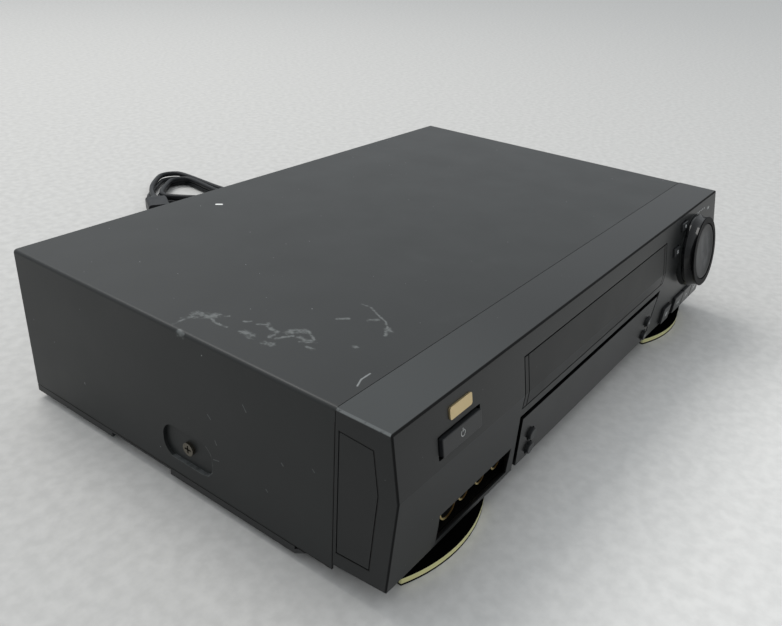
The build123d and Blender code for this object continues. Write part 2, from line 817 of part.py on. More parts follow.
# Base chassis: a floor that ramps up to the fascia, a rim below the cover, and upstands inside it
with BuildPart() as base_chassis:
    front_z = body_height - heel_drop - base_gap
    ramp_z = front_z - base_front_step
    with BuildSketch(Plane.YZ.offset(-half_width)):
        with BuildLine():
            Polyline((y_at(cover_start), front_z), (y_at(base_ramp_start), ramp_z),
                     (y_at(base_ramp_end), foot_height), (y_at(rear_depth), foot_height),
                     (y_at(rear_depth), base_floor_z), (y_at(base_ramp_end + 1), base_floor_z),
                     (y_at(base_ramp_start + 1), ramp_z + base_sheet),
                     (y_at(cover_start), front_z + base_sheet), close=True)
        make_face()
    extrude(amount=body_width)
    for side in (-1, 1):
        # Clear of the cover's sides
        with Locations((side * half_width, y_at(cover_start), cover_hem - base_rim_gap)):
            Box(2 * base_rim_sheet, cover_length, body_height,
                align=(Align.CENTER, Align.MIN, Align.MIN), mode=Mode.SUBTRACT)
        # Rim
        with Locations((side * (half_width - base_rim_sheet / 2), y_at(base_ramp_end), foot_height)):
            Box(base_rim_sheet, rear_depth - base_ramp_end, cover_hem - base_rim_gap - foot_height,
                align=(Align.CENTER, Align.MIN, Align.MIN))
        # Notch in the rim
        with Locations((side * half_width, y_at(base_notch_start), foot_height)):
            Box(4 * base_rim_sheet, base_notch_end - base_notch_start, base_notch_lift,
                align=(Align.CENTER, Align.MIN, Align.MIN), mode=Mode.SUBTRACT)
        # Upstand inside the cover, with a taller tab for the screw
        upstand_x = side * (half_width - cover_sheet - dish_sink - seam_gap - upstand_sheet / 2)
        upstand_start = base_ramp_end + upstand_end_gap
        with Locations((upstand_x, y_at(upstand_start), base_floor_z)):
            Box(upstand_sheet, panel_depth - upstand_end_gap - upstand_start, upstand_height - base_floor_z,
                align=(Align.CENTER, Align.MIN, Align.MIN))
        with Locations((upstand_x, y_at(dish_depth_from_front), base_floor_z)):
            Box(upstand_sheet, screw_tab_width, screw_tab_height - base_floor_z,
                align=(Align.CENTER, Align.CENTER, Align.MIN))
        with BuildSketch(side_plane(side, dish_depth_from_front, dish_z)):
            Circle(screw_radius + screw_clearance)
        extrude(amount=-screw_length, mode=Mode.SUBTRACT)
    # Posts for the deck and for the boards
    deck_posts = [(x, y_at(depth)) for x in (-deck_post_x, deck_post_x) for depth in deck_post_depths]
    board_posts = [(x, y_at(depth)) for x in board_post_xs for depth in board_post_depths]
    power_posts = [(x, y_at(depth)) for x in power_post_xs for depth in power_post_depths]
    with BuildSketch(Plane.XY.offset(base_floor_z)):
        with Locations(*deck_posts):
            Circle(deck_post_radius)
    extrude(amount=deck_z - base_floor_z)
    with BuildSketch(Plane.XY.offset(base_floor_z)):
        with Locations(*(board_posts + power_posts)):
            Circle(post_radius)
    extrude(amount=board_z - base_floor_z)
write_piece(base_chassis, "base_chassis")

# Rear panel, with holes for the sockets and the cord
rear_jacks = [(rear_jack_x + (n - 1) * rear_jack_pitch, z) for n in range(rear_jack_columns)
              for z in (connector_low_z, connector_low_z + connector_pitch)]
connectors = [(tuner_x, connector_low_z), (tuner_x, connector_low_z + connector_pitch)]
with BuildPart() as rear_panel:
    with BuildSketch(front_plane(panel_depth)):
        with Locations((0, base_floor_z)):
            Rectangle(body_width - 2 * cover_sheet - 2 * panel_side_gap,
                      body_height - cover_sheet - panel_top_gap - base_floor_z,
                      align=(Align.CENTER, Align.MIN))
        with Locations(*rear_jacks):
            Circle(rear_boss_radius + panel_hole_gap, mode=Mode.SUBTRACT)
        with Locations(*connectors):
            Circle(connector_collar_radius + panel_hole_gap, mode=Mode.SUBTRACT)
        with Locations((outlet_x, outlet_z)):
            Circle(relief_radius + outlet_gap, mode=Mode.SUBTRACT)
        with Locations(*[(x, rear_screw_z) for x in rear_screw_xs]):
            Circle(screw_radius + screw_clearance, mode=Mode.SUBTRACT)
    extrude(amount=-panel_sheet)
write_piece(rear_panel, "rear_panel")

# Case screws: two in the side dishes, three through the rear flange
with BuildPart() as case_screws:
    seats = [side_plane(side, dish_depth_from_front, dish_z).offset(-dish_sink) for side in (-1, 1)]
    for x in rear_screw_xs:
        seats.append(Plane(origin=(x, y_at(rear_depth), rear_screw_z), x_dir=(-1, 0, 0), z_dir=(0, 1, 0)))
    for seat in seats:
        with BuildSketch(seat):
            Circle(screw_head_radius)
        extrude(amount=screw_head_height)
        with BuildSketch(seat):
            Circle(screw_radius)
        extrude(amount=-screw_length)
        with BuildSketch(seat.offset(screw_head_height)):
            Rectangle(screw_slot_length, screw_slot_width)
            Rectangle(screw_slot_width, screw_slot_length)
        extrude(amount=-screw_slot_depth, mode=Mode.SUBTRACT)
write_piece(case_screws, "case_screws")

# Front feet: bow-fronted blocks with a gold band let into the bow
def foot_outline(side, outer_radius, inner_radius=0.0):
    """Bow-fronted outline of a foot, or the strip of it between two radii of the bow."""
    with Locations((side * foot_center_x, y_at(foot_bow_depth + foot_bow_radius))):
        Circle(outer_radius)
        if inner_radius:
            Circle(inner_radius, mode=Mode.SUBTRACT)
    with Locations((side * foot_center_x, y_at(foot_rear_depth))):
        Rectangle(2 * foot_half_width, 2 * (foot_rear_depth - foot_bow_depth),
                  align=(Align.CENTER, Align.MAX), mode=Mode.INTERSECT)


with BuildPart() as front_feet:
    for side in (-1, 1):
        with BuildSketch(Plane.XY):
            foot_outline(side, foot_bow_radius)
        extrude(amount=foot_top)
        with BuildSketch(Plane.XY.offset(trim_bottom)):
            foot_outline(side, foot_bow_radius + trim_sheet, foot_bow_radius - trim_sheet)
        extrude(amount=trim_top - trim_bottom, mode=Mode.SUBTRACT)
write_piece(front_feet, "front_feet")

with BuildPart() as foot_trims:
    for side in (-1, 1):
        with BuildSketch(Plane.XY.offset(trim_bottom)):
            foot_outline(side, foot_bow_radius, foot_bow_radius - trim_sheet)
        extrude(amount=trim_top - trim_bottom)
write_piece(foot_trims, "foot_trims")

with BuildPart() as rear_feet:
    with BuildSketch(Plane.XY):
        with Locations((-rear_foot_x, y_at(rear_foot_depth)), (rear_foot_x, y_at(rear_foot_depth))):
            Circle(rear_foot_radius)
    extrude(amount=foot_height)
write_piece(rear_feet, "rear_feet")

# ---------------------------------------------------------------------------
# Front: door, window, dial, keys and jacks
# ---------------------------------------------------------------------------

# Cassette door: follows both facets, hinged at its top, inside
with BuildPart() as cassette_door:
    profile = [(facet_depth(door_top_drop), door_top_drop), (facet_depth(crease_drop), crease_drop),
               (facet_depth(door_bottom_drop), door_bottom_drop)]
    inner = [(depth + door_sheet, drop) for depth, drop in reversed(profile)]
    with BuildSketch(Plane.YZ.offset(-door_half_width)):
        with BuildLine():
            Polyline(*[(y_at(depth), z_at(drop)) for depth, drop in profile + inner], close=True)
        make_face()
    extrude(amount=2 * door_half_width)
    # A shallow line near each end
    skin = [(depth - 1, drop) for depth, drop in profile]
    skin_inner = [(depth + door_line_depth, drop) for depth, drop in reversed(profile)]
    for side in (-1, 1):
        with BuildSketch(Plane.YZ.offset(side * (door_half_width - door_line_inset))):
            with BuildLine():
                Polyline(*[(y_at(depth), z_at(drop)) for depth, drop in skin + skin_inner], close=True)
            make_face()
        extrude(amount=door_line_width / 2, both=True, mode=Mode.SUBTRACT)
    # Hinge ears and pins
    ear_front = facet_depth(door_top_drop) + door_sheet
    for side in (-1, 1):
        ear_x = side * (door_half_width - hinge_ear_inset)
        with BuildSketch(Plane.YZ.offset(ear_x)):
            with BuildLine():
                Polyline((y_at(hinge_depth - hinge_eye_radius * 0.8), z_at(hinge_drop + 0.5)),
                         (y_at(hinge_depth - hinge_eye_radius * 0.9), z_at(door_top_drop + 0.4)),
                         (y_at(ear_front - 0.2), z_at(door_top_drop + 0.9)),
                         (y_at(ear_front - 0.6), z_at(door_top_drop + hinge_ear_lap)),
                         (y_at(hinge_depth + hinge_eye_radius * 0.8), z_at(hinge_drop + 0.9)), close=True)
            make_face()
            with Locations((y_at(hinge_depth), z_at(hinge_drop))):
                Circle(hinge_eye_radius)
        extrude(amount=side * hinge_ear_sheet)
        with BuildSketch(Plane.YZ.offset(ear_x)):
            with Locations((y_at(hinge_depth), z_at(hinge_drop))):
                Circle(hinge_pin_radius)
        pin_length = hinge_ear_inset + door_gap + hinge_boss_gap + hinge_boss_length - hinge_pin_end_gap
        extrude(amount=side * pin_length)
write_piece(cassette_door, "cassette_door")

# Display window: flush plate, deep groove above and to the left, flange behind the fascia
def window_outline(left, right, top, bottom):
    """Slant-ended outline, drawn in from the fascia's recess by a margin on each side."""
    slant = window_slant / (recess_top - recess_end)
    left_top = -window_half_width + left + slant * (recess_top - top)
    right_top = window_half_width - right - slant * (recess_top - top)
    run = slant * (top - bottom)
    return [(left_top, top), (right_top, top), (right_top - run, bottom), (left_top + run, bottom)]


plate_top = on_face(0, window_top_drop + window_groove)[1][1]
plate_bottom = on_face(0, toe_drop - window_foot_gap)[1][1]
riser_bottom = on_face(0, floor_relief_drop - seam_gap)[1][1]
plate_outline = window_outline(window_left_groove, window_right_gap, plate_top, plate_bottom)
riser_outline = window_outline(window_left_groove, window_right_gap, plate_top, riser_bottom)
flange_outline = window_outline(-window_flange, -window_flange, recess_top + window_flange, riser_bottom)
hollow_outline = window_outline(window_left_groove + window_sheet, window_right_gap + window_sheet,
                                plate_top - window_sheet, riser_bottom - 1)
with BuildPart() as display_window:
    with BuildSketch(lower_face.offset(-window_sink)):
        with BuildLine():
            Polyline(*plate_outline, close=True)
        make_face()
    extrude(amount=-(fascia_wall - window_sink))
    with BuildSketch(lower_face.offset(-fascia_wall)):
        with BuildLine():
            Polyline(*riser_outline, close=True)
        make_face()
        with BuildLine():
            Polyline(*hollow_outline, close=True)
        make_face(mode=Mode.SUBTRACT)
    extrude(amount=-(window_groove_depth - fascia_wall))
    with BuildSketch(lower_face.offset(-window_groove_depth)):
        with BuildLine():
            Polyline(*flange_outline, close=True)
        make_face()
        with BuildLine():
            Polyline(*hollow_outline, close=True)
        make_face(mode=Mode.SUBTRACT)
    extrude(amount=-window_sheet)
    # Wall between the flange and the fascia, above the groove
    with BuildSketch(lower_face.offset(-fascia_wall - window_wall_gap)):
        with Locations((0, recess_top + window_flange / 2)):
            Rectangle(2 * window_half_width, window_flange)
    extrude(amount=-(window_groove_depth - fascia_wall))
    for name, x, drop in round_keys:
        with BuildSketch(lower_face.offset(cut_above)):
            with Locations(on_face(x, drop)[1]):
                Circle(round_key_radius + round_key_gap)
        extrude(amount=-(cut_above + fascia_wall), mode=Mode.SUBTRACT)
write_piece(display_window, "display_window")

# Shuttle ring: waisted flank, flat rim, sleeve through the fascia
ring_base = dial_seat_height + dial_gap
with BuildPart() as shuttle_ring:
    with BuildSketch(Plane.XZ):
        with BuildLine():
            flank_low = (ring_radius, ring_base + ring_step)
            flank_top = (ring_rim_radius - dial_edge, dial_reach - 2 * dial_edge)
            Polyline((ring_sleeve_radius - ring_sleeve_wall, -dial_sleeve_length),
                     (ring_sleeve_radius, -dial_sleeve_length), (ring_sleeve_radius, ring_base),
                     (ring_radius, ring_base), flank_low)
            ThreePointArc(flank_low, (ring_waist_radius, (flank_low[1] + flank_top[1]) / 2), flank_top)
            Polyline(flank_top, (ring_rim_radius, dial_reach - dial_edge),
                     (ring_rim_radius - dial_edge, dial_reach), (ring_inner_radius + dial_edge, dial_reach),
                     (ring_inner_radius, dial_reach - dial_edge),
                     (ring_inner_radius, ring_base + ring_floor),
                     (ring_sleeve_radius - ring_sleeve_wall, ring_base + ring_floor),
                     (ring_sleeve_radius - ring_sleeve_wall, -dial_sleeve_length))
        make_face()
    revolve(axis=Axis.Z)
dial_seat = Plane(origin=dial_face.from_local_coords((*dial_point, 0)), x_dir=(1, 0, 0),
                  z_dir=dial_face.z_dir)
shuttle_ring.part = dial_seat.location * shuttle_ring.part
write_piece(shuttle_ring, "shuttle_ring")

# Jog disc: dished face, short skirt, shaft inside the ring's sleeve
disc_low = ring_base + ring_floor + dial_gap
shaft_low = -dial_sleeve_length - disc_shaft_out
with BuildPart() as jog_disc:
    with BuildSketch(Plane.XZ):
        with BuildLine():
            rim_top = dial_reach - disc_sink
            Polyline((0, shaft_low), (disc_shaft_radius, shaft_low), (disc_shaft_radius, disc_low),
                     (disc_radius, disc_low), (disc_radius, rim_top - dial_edge),
                     (disc_radius - dial_edge, rim_top), (disc_dish_radius, rim_top))
            bowl = (disc_dish_radius**2 + disc_dish**2) / (2 * disc_dish)
            halfway = rim_top - disc_dish + bowl - sqrt(bowl**2 - disc_dish_radius**2 / 4)
            ThreePointArc((disc_dish_radius, rim_top), (disc_dish_radius / 2, halfway),
                          (0, rim_top - disc_dish))
            Line((0, rim_top - disc_dish), (0, shaft_low))
        make_face()
    revolve(axis=Axis.Z)
jog_disc.part = dial_seat.location * jog_disc.part
write_piece(jog_disc, "jog_disc")


# Keys in the fascia: cap, flange behind the wall, and a plunger that stops short of its switch
seat = fascia_wall + key_seat
switch_depth = front_board_depth - switch_height
plunger_clear = key_travel + plunger_gap + plunger_radius * tan(radians(upper_tilt))
for name, x, drop, width, height, gap, proud in keys:
    face, point = on_face(x, drop)
    with BuildPart() as key:
        with BuildSketch(face.offset(-seat)):
            with Locations(point):
                RectangleRounded(width, height, key_corner)
        extrude(amount=seat + proud)
        fillet(key.faces().sort_by(Axis(face.origin, face.z_dir))[-1].edges(), key_round)
        with BuildSketch(face.offset(-seat)):
            with Locations((point[0], point[1] - height / 2)):
                Rectangle(width, height + gap + key_flange, align=(Align.CENTER, Align.MIN))
        extrude(amount=-key_flange_sheet)
        with BuildSketch(face.offset(-seat - key_flange_sheet)):
            with Locations(point):
                Circle(plunger_radius)
        extrude(amount=-(behind_face(x, drop, switch_depth)[1] - plunger_clear - seat - key_flange_sheet))
    write_piece(key, name)

# Round keys in the display window
for name, x, drop in round_keys:
    with BuildPart() as round_key:
        with BuildSketch(lower_face.offset(-seat)):
            with Locations(on_face(x, drop)[1]):
                Circle(round_key_radius)
        extrude(amount=seat + round_key_proud)
        fillet(round_key.faces().sort_by(Axis(lower_face.origin, lower_face.z_dir))[-1].edges(), key_round)
        with BuildSketch(lower_face.offset(-seat)):
            with Locations(on_face(x, drop)[1]):
                Circle(round_key_radius + round_key_gap + round_key_flange)
        extrude(amount=-key_flange_sheet)
        with BuildSketch(lower_face.offset(-seat - key_flange_sheet)):
            with Locations(on_face(x, drop)[1]):
                Circle(plunger_radius)
        extrude(amount=-(behind_face(x, drop, switch_depth)[1] - plunger_clear - seat - key_flange_sheet))
    write_piece(round_key, name)

# Jack tray behind the recess, with an insulating post inside each shell
tray_back = tray_front + recess_depth
jack_front = facet_depth(jack_drop) + jack_set_back
round_jacks = [(jack_first_x - n * jack_pitch, z_at(jack_drop)) for n in range(jack_count)]
tray_left = recess_left_x - tray_sheet - tray_gap
tray_right = recess_right_x + tray_sheet + tray_gap
tray_top = z_at(recess_top_drop) + tray_sheet + tray_gap
tray_bottom = z_at(floor_relief_drop) + seam_gap
with BuildPart() as front_jack_block:
    with Locations(((tray_left + tray_right) / 2, y_at(tray_front), tray_bottom)):
        Box(tray_right - tray_left, recess_depth + tray_sheet, tray_top - tray_bottom,
            align=(Align.CENTER, Align.MIN, Align.MIN))
        with Locations((0, 0, tray_sheet)):
            Box(tray_right - tray_left - 2 * tray_sheet, recess_depth,
                tray_top - tray_bottom - 2 * tray_sheet,
                align=(Align.CENTER, Align.MIN, Align.MIN), mode=Mode.SUBTRACT)
    with BuildSketch(front_plane(tray_back)):
        with Locations(*round_jacks):
            Circle(jack_radius - jack_shell)
        with Locations((svideo_x, z_at(jack_drop))):
            Circle(svideo_radius - jack_shell)
    extrude(amount=tray_back - jack_front - jack_insert_step)
    with BuildSketch(front_plane(jack_front)):
        with Locations(*round_jacks):
            Circle(jack_bore_radius)
        with Locations((svideo_x, z_at(jack_drop))):
            with Locations(*svideo_pins):
                Circle(svideo_pin_radius)
            with Locations((0, svideo_key_offset)):
                Rectangle(svideo_key_width, svideo_key_height)
    extrude(amount=-(tray_back - jack_front), mode=Mode.SUBTRACT)
write_piece(front_jack_block, "front_jack_block")

with BuildPart() as front_jack_shells:
    with BuildSketch(front_plane(tray_back)):
        with Locations(*round_jacks):
            Circle(jack_radius)
            Circle(jack_radius - jack_shell, mode=Mode.SUBTRACT)
        with Locations((svideo_x, z_at(jack_drop))):
            Circle(svideo_radius)
            Circle(svideo_radius - jack_shell, mode=Mode.SUBTRACT)
    extrude(amount=tray_back - jack_front)
write_piece(front_jack_shells, "front_jack_shells")

# Front circuit board: low across the middle, a tall wing at each end, an encoder behind the dial
slot_clear = door_half_width + front_board_slot_margin
board_foot_z = floor_z(front_board_depth + board_sheet) + front_board_foot_gap
with BuildPart() as front_board:
    with BuildSketch(front_plane(front_board_depth)):
        with BuildLine():
            Polyline((-front_board_half_width, board_foot_z), (front_board_half_width, board_foot_z),
                     (front_board_half_width, front_board_wing_z), (slot_clear, front_board_wing_z),
                     (slot_clear, front_board_step_z), (-slot_clear, front_board_step_z),
                     (-slot_clear, front_board_wing_z), (-front_board_half_width, front_board_wing_z),
                     close=True)
        make_face()
    extrude(amount=-board_sheet)
    with BuildSketch(front_plane(front_board_depth)):
        with Locations((dial_x, behind_face(dial_x, dial_drop, front_board_depth)[0].Z + encoder_lift)):
            RectangleRounded(encoder_size, encoder_size, encoder_corner)
    extrude(amount=encoder_height)
    for x, drop in [key[1:3] for key in keys + round_keys]:
        with Locations((x, y_at(front_board_depth), behind_face(x, drop, switch_depth)[0].Z)):
            Box(switch_size, switch_height, switch_size, align=(Align.CENTER, Align.MAX, Align.CENTER))
write_piece(front_board, "front_board")

# Fluorescent display: a flat glass envelope on the front board
with BuildPart() as display_tube:
    with Locations((0, y_at(front_board_depth), board_foot_z + display_lift)):
        Box(display_width, display_depth, display_height, align=(Align.CENTER, Align.MAX, Align.MIN))
        with Locations((0, -display_depth, display_glass_drop)):
            Box(display_width - 2 * display_glass_margin, display_glass_sheet,
                display_height - 2 * display_glass_drop, align=(Align.CENTER, Align.MAX, Align.MIN))
write_piece(display_tube, "display_tube")

# ---------------------------------------------------------------------------
# Circuit boards and sockets
# ---------------------------------------------------------------------------

# Main board: parts stand tall beside the deck and low under it
with BuildPart() as main_board:
    with BuildSketch(Plane.XY.offset(board_z)):
        with Locations((main_board_left, y_at(main_board_front))):
            Rectangle(main_board_right - main_board_left, main_board_rear - main_board_front,
                      align=(Align.MIN, Align.MIN))
        with Locations(*deck_posts):
            Circle(deck_post_radius + post_hole_gap, mode=Mode.SUBTRACT)
    extrude(amount=board_sheet)
    # Shield can, cable socket, chips and capacitors
    stand_blocks(main_board_blocks, board_top)
    stand_cans(main_board_cans, board_top)
write_piece(main_board, "main_board")

# Flat cable from the front board to the main board
with BuildPart() as ribbon_cable:
    ribbon_start = front_board_depth + board_sheet
    landing_z = board_top + main_board_blocks[1][4]
    ribbon_under = [(ribbon_start, ribbon_top), (ribbon_start + ribbon_shelf, ribbon_top),
                    (ribbon_bend_depth, landing_z), (ribbon_end_depth, landing_z)]
    ribbon_over = [(ribbon_end_depth, landing_z + ribbon_sheet),
                   (ribbon_bend_depth + ribbon_bend_shift, landing_z + ribbon_sheet),
                   (ribbon_start + ribbon_shelf + ribbon_bend_shift, ribbon_top + ribbon_sheet),
                   (ribbon_start, ribbon_top + ribbon_sheet)]
    with BuildSketch(Plane.YZ.offset(ribbon_left)):
        with BuildLine():
            Polyline(*[(y_at(depth), z) for depth, z in ribbon_under + ribbon_over], close=True)
        make_face()
    extrude(amount=ribbon_width)
write_piece(ribbon_cable, "ribbon_cable")

# Power board, with its capacitors and heat sink
with BuildPart() as power_board:
    with BuildSketch(Plane.XY.offset(board_z)):
        with Locations((power_board_left, y_at(power_board_front))):
            Rectangle(power_board_right - power_board_left, power_board_rear - power_board_front,
                      align=(Align.MIN, Align.MIN))
    extrude(amount=board_sheet)
    stand_cans(power_board_cans, board_top)
    stand_blocks([heat_sink], board_top)
write_piece(power_board, "power_board")

# Power transformer: ferrite core round a bobbin
with BuildPart() as power_transformer:
    core_z = board_top + transformer_foot
    stand_blocks([(transformer_x, transformer_depth, transformer_width, transformer_length,
                   transformer_foot)], board_top)
    stand_blocks([(transformer_x, transformer_depth, core_width, core_length, core_height)], core_z)
    stand_cans([(transformer_x, transformer_depth, winding_radius, winding_height)], core_z)
write_piece(power_transformer, "power_transformer")

# Tuner can with two aerial sockets, each with a collar that stands a little out of the panel
connector_seat = panel_depth + panel_sheet + connector_collar_proud
with BuildPart() as tuner_module:
    with Locations((tuner_x, y_at(module_rear), tuner_bottom)):
        Box(tuner_width, tuner_length, tuner_height, align=(Align.CENTER, Align.MAX, Align.MIN))
    with Locations((tuner_x, y_at(module_rear - tuner_foot_start), board_top)):
        Box(tuner_width - 2 * tuner_foot_inset, tuner_foot_length, tuner_bottom - board_top,
            align=(Align.CENTER, Align.MAX, Align.MIN))
    with BuildSketch(front_plane(module_rear)):
        with Locations(*connectors):
            Circle(connector_collar_radius)
    extrude(amount=-(connector_seat - module_rear))
    with BuildSketch(front_plane(connector_seat)):
        with Locations(*connectors):
            Circle(connector_radius)
    extrude(amount=-(tail_depth - connector_seat))
    with BuildSketch(front_plane(tail_depth)):
        with Locations(*connectors):
            Circle(connector_bore)
    extrude(amount=connector_reach, mode=Mode.SUBTRACT)
write_piece(tuner_module, "tuner_module")

# Rear jack block, with a boss through the panel behind each of its shells
rear_jack_tip = panel_depth + panel_sheet + rear_jack_length
rear_jack_seat = panel_depth + panel_sheet + rear_boss_proud
with BuildPart() as rear_jack_block:
    block_width = (rear_jack_columns - 1) * rear_jack_pitch + 2 * rear_block_side
    with Locations((rear_jack_x, y_at(module_rear), board_top)):
        Box(block_width, rear_block_depth, connector_low_z + connector_pitch + rear_block_top - board_top,
            align=(Align.CENTER, Align.MAX, Align.MIN))
    with BuildSketch(front_plane(module_rear)):
        with Locations(*rear_jacks):
            Circle(rear_boss_radius)
    extrude(amount=-(rear_jack_seat - module_rear))
    with BuildSketch(front_plane(module_rear)):
        with Locations(*rear_jacks):
            Circle(jack_radius - jack_shell)
    extrude(amount=-(rear_jack_tip - module_rear - jack_insert_step))
    with BuildSketch(front_plane(rear_jack_tip)):
        with Locations(*rear_jacks):
            Circle(jack_bore_radius)
    extrude(amount=rear_jack_length, mode=Mode.SUBTRACT)
write_piece(rear_jack_block, "rear_jack_block")

with BuildPart() as rear_jack_shells:
    with BuildSketch(front_plane(rear_jack_seat)):
        with Locations(*rear_jacks):
            Circle(jack_radius)
            Circle(jack_radius - jack_shell, mode=Mode.SUBTRACT)
    extrude(amount=-(rear_jack_tip - rear_jack_seat))
write_piece(rear_jack_shells, "rear_jack_shells")

# ---------------------------------------------------------------------------
# Tape deck
# ---------------------------------------------------------------------------

guide_paths = [(side, (side * guide_start_x, y_at(guide_start_depth)),
                (side * guide_end_x, y_at(guide_end_depth))) for side in (-1, 1)]
with BuildPart() as deck_plate:
    with BuildSketch(Plane.XY.offset(deck_z)):
        with Locations((0, y_at(deck_front))):
            Rectangle(2 * deck_half_width, deck_rear - deck_front, align=(Align.CENTER, Align.MIN))
        for side, start, end in guide_paths:
            run = Vector(*end) - Vector(*start)
            slot = SlotCenterToCenter(run.length, guide_slot_width, rotation=degrees(atan2(run.Y, run.X)),
                                      mode=Mode.PRIVATE)
            middle = (Vector(*start) + Vector(*end)) * 0.5
            add(slot.moved(Location((middle.X, middle.Y, 0))), mode=Mode.SUBTRACT)
        with Locations((capstan_x, y_at(capstan_depth))):
            Circle(bearing_radius + bearing_hole_gap, mode=Mode.SUBTRACT)
    extrude(amount=deck_sheet)
    # Fixed pins that the reels, arms and cam gear turn on
    reel_pin_height = reel_lift + reel_hub_height - reel_hub_cap - pin_end_gap
    stand_cans([(-reel_x, reel_depth, deck_pin_radius, reel_pin_height),
                (reel_x, reel_depth, deck_pin_radius, reel_pin_height),
                (0, idler_pivot_depth, deck_pin_radius, idler_pin_height),
                (pinch_pivot_x, pinch_pivot_depth, deck_pin_radius, pinch_pin_height),
                (cam_x, cam_depth, cam_pin_radius, cam_hub_top - deck_top)], deck_top)
write_piece(deck_plate, "deck_plate")

# Side brackets of the lift, each with a foot on the deck and two rails inside
slide_front = holder_front + slide_front_margin
slide_length = holder_rear_pin - slide_front_margin + slide_tail
with BuildPart() as lift_brackets:
    for side in (-1, 1):
        with Locations((side * (bracket_inner_x + bracket_sheet / 2), y_at(deck_front), deck_top)):
            Box(bracket_sheet, bracket_rear - deck_front, bracket_top_z - deck_top,
                align=(Align.CENTER, Align.MIN, Align.MIN))
        foot_x = side * (bracket_inner_x + (bracket_sheet + bracket_foot) / 2)
        with Locations((foot_x, y_at(deck_front), deck_top)):
            Box(bracket_sheet + bracket_foot, bracket_rear - deck_front, bracket_sheet,
                align=(Align.CENTER, Align.MIN, Align.MIN))
        for rail_z in (slide_bottom_z - slide_gap - bracket_rail, slide_top_z + slide_gap):
            rail_wide = bracket_inner_x - slide_inner_x
            rail_x = side * (bracket_inner_x - rail_wide / 2)
            with Locations((rail_x, y_at(slide_front - bracket_rail_margin), rail_z)):
                Box(rail_wide, slide_length + holder_in + 2 * bracket_rail_margin, bracket_rail,
                    align=(Align.CENTER, Align.MIN, Align.MIN))
write_piece(lift_brackets, "lift_brackets")

# Slide plates: they run along the rails and carry the holder's pins in upright slots
holder_pins = [(y_at(holder_front + pin), holder_pin_z) for pin in (holder_front_pin, holder_rear_pin)]
slot_high = holder_pin_z + holder_pin_radius + slide_gap
slot_low = holder_pin_z - holder_down - holder_pin_radius - slide_gap
with BuildPart() as lift_slides:
    for side in (-1, 1):
        with BuildSketch(Plane.YZ.offset(side * slide_inner_x)):
            with Locations((y_at(slide_front), slide_bottom_z)):
                Rectangle(slide_length, slide_top_z - slide_bottom_z, align=(Align.MIN, Align.MIN))
            with Locations(*[(y, (slot_high + slot_low) / 2) for y, z in holder_pins]):
                SlotOverall(slot_high - slot_low, 2 * (holder_pin_radius + slide_gap), rotation=90,
                            mode=Mode.SUBTRACT)
        extrude(amount=side * slide_sheet)
write_piece(lift_slides, "lift_slides")

# Cassette holder: a roof, two sides, and lips that carry the cassette, with a pin pair on each side
with BuildPart() as cassette_holder:
    with Locations((0, y_at(holder_front), holder_floor_z - holder_sheet)):
        Box(2 * holder_half, holder_length, holder_ceiling_z - holder_floor_z + 2 * holder_sheet,
            align=(Align.CENTER, Align.MIN, Align.MIN))
        with Locations((0, 0, holder_sheet)):
            Box(2 * holder_inner_half, holder_length, holder_ceiling_z - holder_floor_z,
                align=(Align.CENTER, Align.MIN, Align.MIN), mode=Mode.SUBTRACT)
        Box(2 * (holder_inner_half - holder_lip), holder_length, holder_sheet,
            align=(Align.CENTER, Align.MIN, Align.MIN), mode=Mode.SUBTRACT)
    for side in (-1, 1):
        with BuildSketch(Plane.YZ.offset(side * holder_half)):
            with Locations(*holder_pins):
                Circle(holder_pin_radius)
        extrude(amount=side * (slide_side_gap + slide_sheet))
write_piece(cassette_holder, "cassette_holder")

# Reels: toothed table and a splined hub, turning on the deck's pins
for side, name in ((-1, "supply_reel"), (1, "takeup_reel")):
    with BuildPart() as reel:
        place = (side * reel_x, y_at(reel_depth))
        with BuildSketch(Plane.XY.offset(deck_top + reel_lift)):
            with Locations(place):
                Circle(reel_radius)
        extrude(amount=reel_disc)
        with BuildSketch(Plane.XY.offset(deck_top + reel_lift)):
            with Locations(place):
                Circle(reel_hub_radius)
                with PolarLocations(reel_hub_radius, reel_splines):
                    Rectangle(reel_spline_length, reel_spline_width)
        extrude(amount=reel_hub_height)
        with BuildSketch(Plane.XY.offset(deck_top)):
            with Locations(place):
                Circle(deck_pin_radius + running_gap)
        extrude(amount=reel_lift + reel_hub_height - reel_hub_cap, mode=Mode.SUBTRACT)
    write_piece(reel, name)

# Idler: a swinging arm and the wheel that drives one reel or the other
idler_pivot = (0.0, y_at(idler_pivot_depth))
idler_center = (0.0, y_at(idler_pivot_depth + idler_length))
idler_z = deck_top + idler_arm_lift
with BuildPart() as idler_arm:
    with BuildSketch(Plane.XY.offset(idler_z)):
        with Locations((0.0, y_at(idler_pivot_depth + idler_length / 2))):
            SlotCenterToCenter(idler_length, 2 * arm_half_width, rotation=90)
        with Locations(idler_pivot):
            Circle(deck_pin_radius + running_gap, mode=Mode.SUBTRACT)
    extrude(amount=idler_arm_sheet)
    with BuildSketch(Plane.XY.offset(idler_z)):
        with Locations(idler_center):
            Circle(roller_pin_radius)
    extrude(amount=idler_arm_sheet + roller_gap + idler_disc)
write_piece(idler_arm, "idler_arm")

with BuildPart() as idler_wheel:
    with BuildSketch(Plane.XY.offset(idler_z + idler_arm_sheet + roller_gap)):
        with Locations(idler_center):
            Circle(idler_radius)
            Circle(roller_pin_radius + running_gap, mode=Mode.SUBTRACT)
    extrude(amount=idler_disc)
write_piece(idler_wheel, "idler_wheel")

